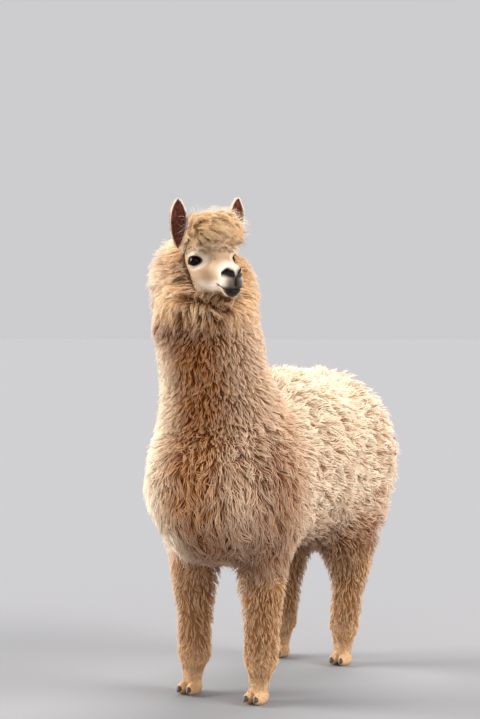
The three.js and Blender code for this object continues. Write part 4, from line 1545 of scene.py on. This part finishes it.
def ear_fur(rng):
    """Pale fur lying along the rims and over the backs of the ears, all pointing to their tips."""
    roots, normals, flows, sizes = [], [], [], []
    for side in (-1, 1):
        up, back, over = ear_axes(side)
        for rim in (-1, 1):
            count = 330
            along = rng.uniform(0.02, 0.99, count) ** 0.9
            across = rim * rng.uniform(0.86, 1.0, count)
            place = ear_leaf(side, across, along)
            ahead = ear_leaf(side, across, np.minimum(along + 0.03, 0.999))
            roots.append(place - back * 0.5)
            normals.append(np.tile(over * rim * 0.75 - back * 0.45, (count, 1)))
            flows.append(unit(ahead - place + up * 0.5) + rng.normal(0, 0.1, (count, 3)))
            sizes.append(rng.uniform(11, 17, count) * (1 - 0.55 * along ** 4))
        count = 800
        along, across = rng.uniform(0.0, 0.95, count) ** 0.8, rng.uniform(-0.95, 0.95, count)
        roots.append(ear_leaf(side, across, along) + back * EAR_WALL)
        normals.append(np.tile(back, (count, 1)) + over * (across * 0.9)[:, None])
        flows.append(np.tile(up, (count, 1)) + rng.normal(0, 0.1, (count, 3)))
        sizes.append(rng.uniform(10, 15, count) * (1 - 0.5 * along ** 4))
    roots, sizes = np.concatenate(roots), np.concatenate(sizes)
    normals, flows = unit(np.concatenate(normals)), unit(np.concatenate(flows))
    return {"roots": roots, "normals": normals,
            "lines": centre_lines(roots, normals, flows, 1.8, sizes, sizes * 0.16, np.linspace(0, 1, 4)),
            "width": rng.uniform(1.1, 2.0, len(roots)),
            "colour": paint(markings(roots), [("pale", 0.75)])}


def lashes(rng):
    """A row of long dark lashes on each upper lid."""
    roots, normals, flows = [], [], []
    lashes_each = 30
    for side in (-1, 1):
        bend = np.linspace(-0.75, 0.75, lashes_each)
        along, rise = bend * LID_HALF_LENGTH, LID_RISE * np.sqrt(1 - bend ** 2) + 1.0
        out = np.sqrt(np.maximum((EYE_RADIUS + LID_THICKNESS) ** 2 - along ** 2 - rise ** 2, 1))
        place = (EYE_CENTRE + along[:, None] * EYE_ALONG + rise[:, None] * EYE_UPRIGHT
                 + out[:, None] * EYE_AXIS)
        facing = unit(place - EYE_CENTRE)
        roots.append(from_head(place * [side, 1, 1]))
        normals.append((facing * [side, 1, 1]) @ HEAD_AXES.T)
        flows.append([0.0, 0.0, -0.7] + rng.normal(0, 0.15, (lashes_each, 3)))
    roots, normals, flows = (np.concatenate(part) for part in (roots, normals, flows))
    count = len(roots)
    return {"roots": roots, "normals": normals,
            "lines": centre_lines(roots, normals, flows, 1.3, np.full(count, 5.0), np.full(count, 9.0),
                                  np.linspace(0, 1, 4)),
            "width": np.full(count, 0.9), "colour": paint(np.zeros((count, 3)), [("leather", 1.0)])}


class ALPACA_OT_face(bpy.types.Operator):
    """Lay the short fur of the face, fringe the ears and set the lashes"""
    bl_idname = "alpaca.face"
    bl_label = "Face fur"

    def execute(self, context):
        coat = context.scene.alpaca_coat
        rng = np.random.default_rng(coat.seed + 80)
        material = wool_material("face_fur", 0.93, 0.97, 0.1, 0.2)
        lay = Lay(*in_mm(coat, "face_gap"), 8, 0.8, 7.5, rings=2, clump=0.3, stray=0.1, loose=0.05, tone=0.03,
                  deep=0.9, passes=0)
        grown = grow(in_face, lay, face_flow, coat.seed + 70, thin=furry)
        coat_pieces(grown, material, {"fur_face": everywhere}, head_unwrap, 0.95, 0.25)
        material = wool_material("ear_fur", 1.0, 1.0, 0.4, 0.4, 0.6)
        for name, hairs in (("fur_ears", ear_fur(rng)), ("lashes", lashes(rng))):
            coat_pieces(hairs, material, {name: everywhere}, head_unwrap, 0.0)
        return {"FINISHED"}


# --- stage
def soft_sun(name, azimuth, elevation, strength, spread, colour):
    """Even light from one direction, softened as a large lamp's is. Azimuth 0 is in front of the
    animal's chest, and 90 to its left."""
    lamp = bpy.data.lights.new(name, "SUN")
    lamp.energy = strength
    lamp.angle = math.radians(spread)
    lamp.color = colour
    made = add_object(name, lamp)
    a, e = math.radians(azimuth), math.radians(elevation)
    towards = Vector((math.sin(a) * math.cos(e), -math.cos(a) * math.cos(e), math.sin(e)))
    made.rotation_euler = towards.to_track_quat("Z", "Y").to_euler()


class ALPACA_OT_stage(bpy.types.Operator):
    """Lay the pale floor, hang the soft lights and set the camera"""
    bl_idname = "alpaca.stage"
    bl_label = "Stage"

    def execute(self, context):
        scene, stage, colours = context.scene, context.scene.alpaca_stage, context.scene.alpaca_colours
        bm = bmesh.new()
        bmesh.ops.create_grid(bm, x_segments=1, y_segments=1, size=300)
        floor = add_object("floor", finished(bm, "floor"))
        floor.data.materials.append(floor_material(colours))
        floor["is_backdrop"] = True

        world = bpy.data.worlds.new("soft_room")
        world.use_nodes = True
        scene.world = world
        back = world.node_tree.nodes["Background"]
        back.inputs["Color"].default_value = (0.98, 0.98, 1.0, 1.0)
        back.inputs["Strength"].default_value = stage.room
        soft_sun("key", 190, 56, stage.key, 40, (1.0, 0.97, 0.92))
        soft_sun("rim_left", 105, 26, stage.rim * 1.3, 30, (1.0, 0.96, 0.9))
        soft_sun("rim_right", -70, 22, stage.rim * 2.2, 30, (1.0, 0.96, 0.9))
        soft_sun("fill", 32, 7, stage.fill, 60, (1.0, 0.84, 0.68))
        soft_sun("fill_side", 85, 14, stage.fill * 0.9, 60, (1.0, 0.92, 0.84))

        camera = bpy.data.cameras.new("camera")
        camera.lens = 70.1
        camera.sensor_width = 36.0
        camera.sensor_fit = "AUTO"
        made = add_object("camera", camera)
        made.location = (2.06, -3.787, 1.05)
        made.rotation_euler = (math.radians(89.0), 0.0, math.radians(30.0))
        scene.camera = made
        scene.view_settings.view_transform = "Standard"
        return {"FINISHED"}


# --- panel, registering, running
STEPS = ("skin", "eyes", "nails", "fleece", "neck", "topknot", "legs", "face", "stage")


class ALPACA_PT_panel(bpy.types.Panel):
    """Lists the alpaca's settings and the steps that build it"""
    bl_idname = "ALPACA_PT_panel"
    bl_label = "Alpaca"
    bl_space_type = "VIEW_3D"
    bl_region_type = "UI"
    bl_category = "Alpaca"

    def draw(self, context):
        for step in STEPS:
            self.layout.operator("alpaca." + step)
        for group in GROUPS:
            box = self.layout.box()
            settings = getattr(context.scene, group)
            for name in settings.__class__.__annotations__:
                box.prop(settings, name)


GROUPS = {
    "alpaca_shape": AlpacaShape,
    "alpaca_coat": AlpacaCoat,
    "alpaca_colours": AlpacaColours,
    "alpaca_stage": AlpacaStage,
}
CLASSES = (*GROUPS.values(), ALPACA_OT_skin, ALPACA_OT_eyes, ALPACA_OT_nails, ALPACA_OT_fleece,
           ALPACA_OT_neck, ALPACA_OT_topknot, ALPACA_OT_legs, ALPACA_OT_face, ALPACA_OT_stage,
           ALPACA_PT_panel)


def register():
    for cls in CLASSES:
        bpy.utils.register_class(cls)
    for name, group in GROUPS.items():
        setattr(bpy.types.Scene, name, PointerProperty(type=group))


def unregister():
    for name in GROUPS:
        delattr(bpy.types.Scene, name)
    for cls in reversed(CLASSES):
        bpy.utils.unregister_class(cls)


def main():
    register()
    for step in STEPS:
        getattr(bpy.ops.alpaca, step)()
    boxes = {"cad": CAD_BOX, "visual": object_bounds()}
    boxes = {name: [list(corner) for corner in box] for name, box in boxes.items()}


if __name__ == "__main__":
    main()
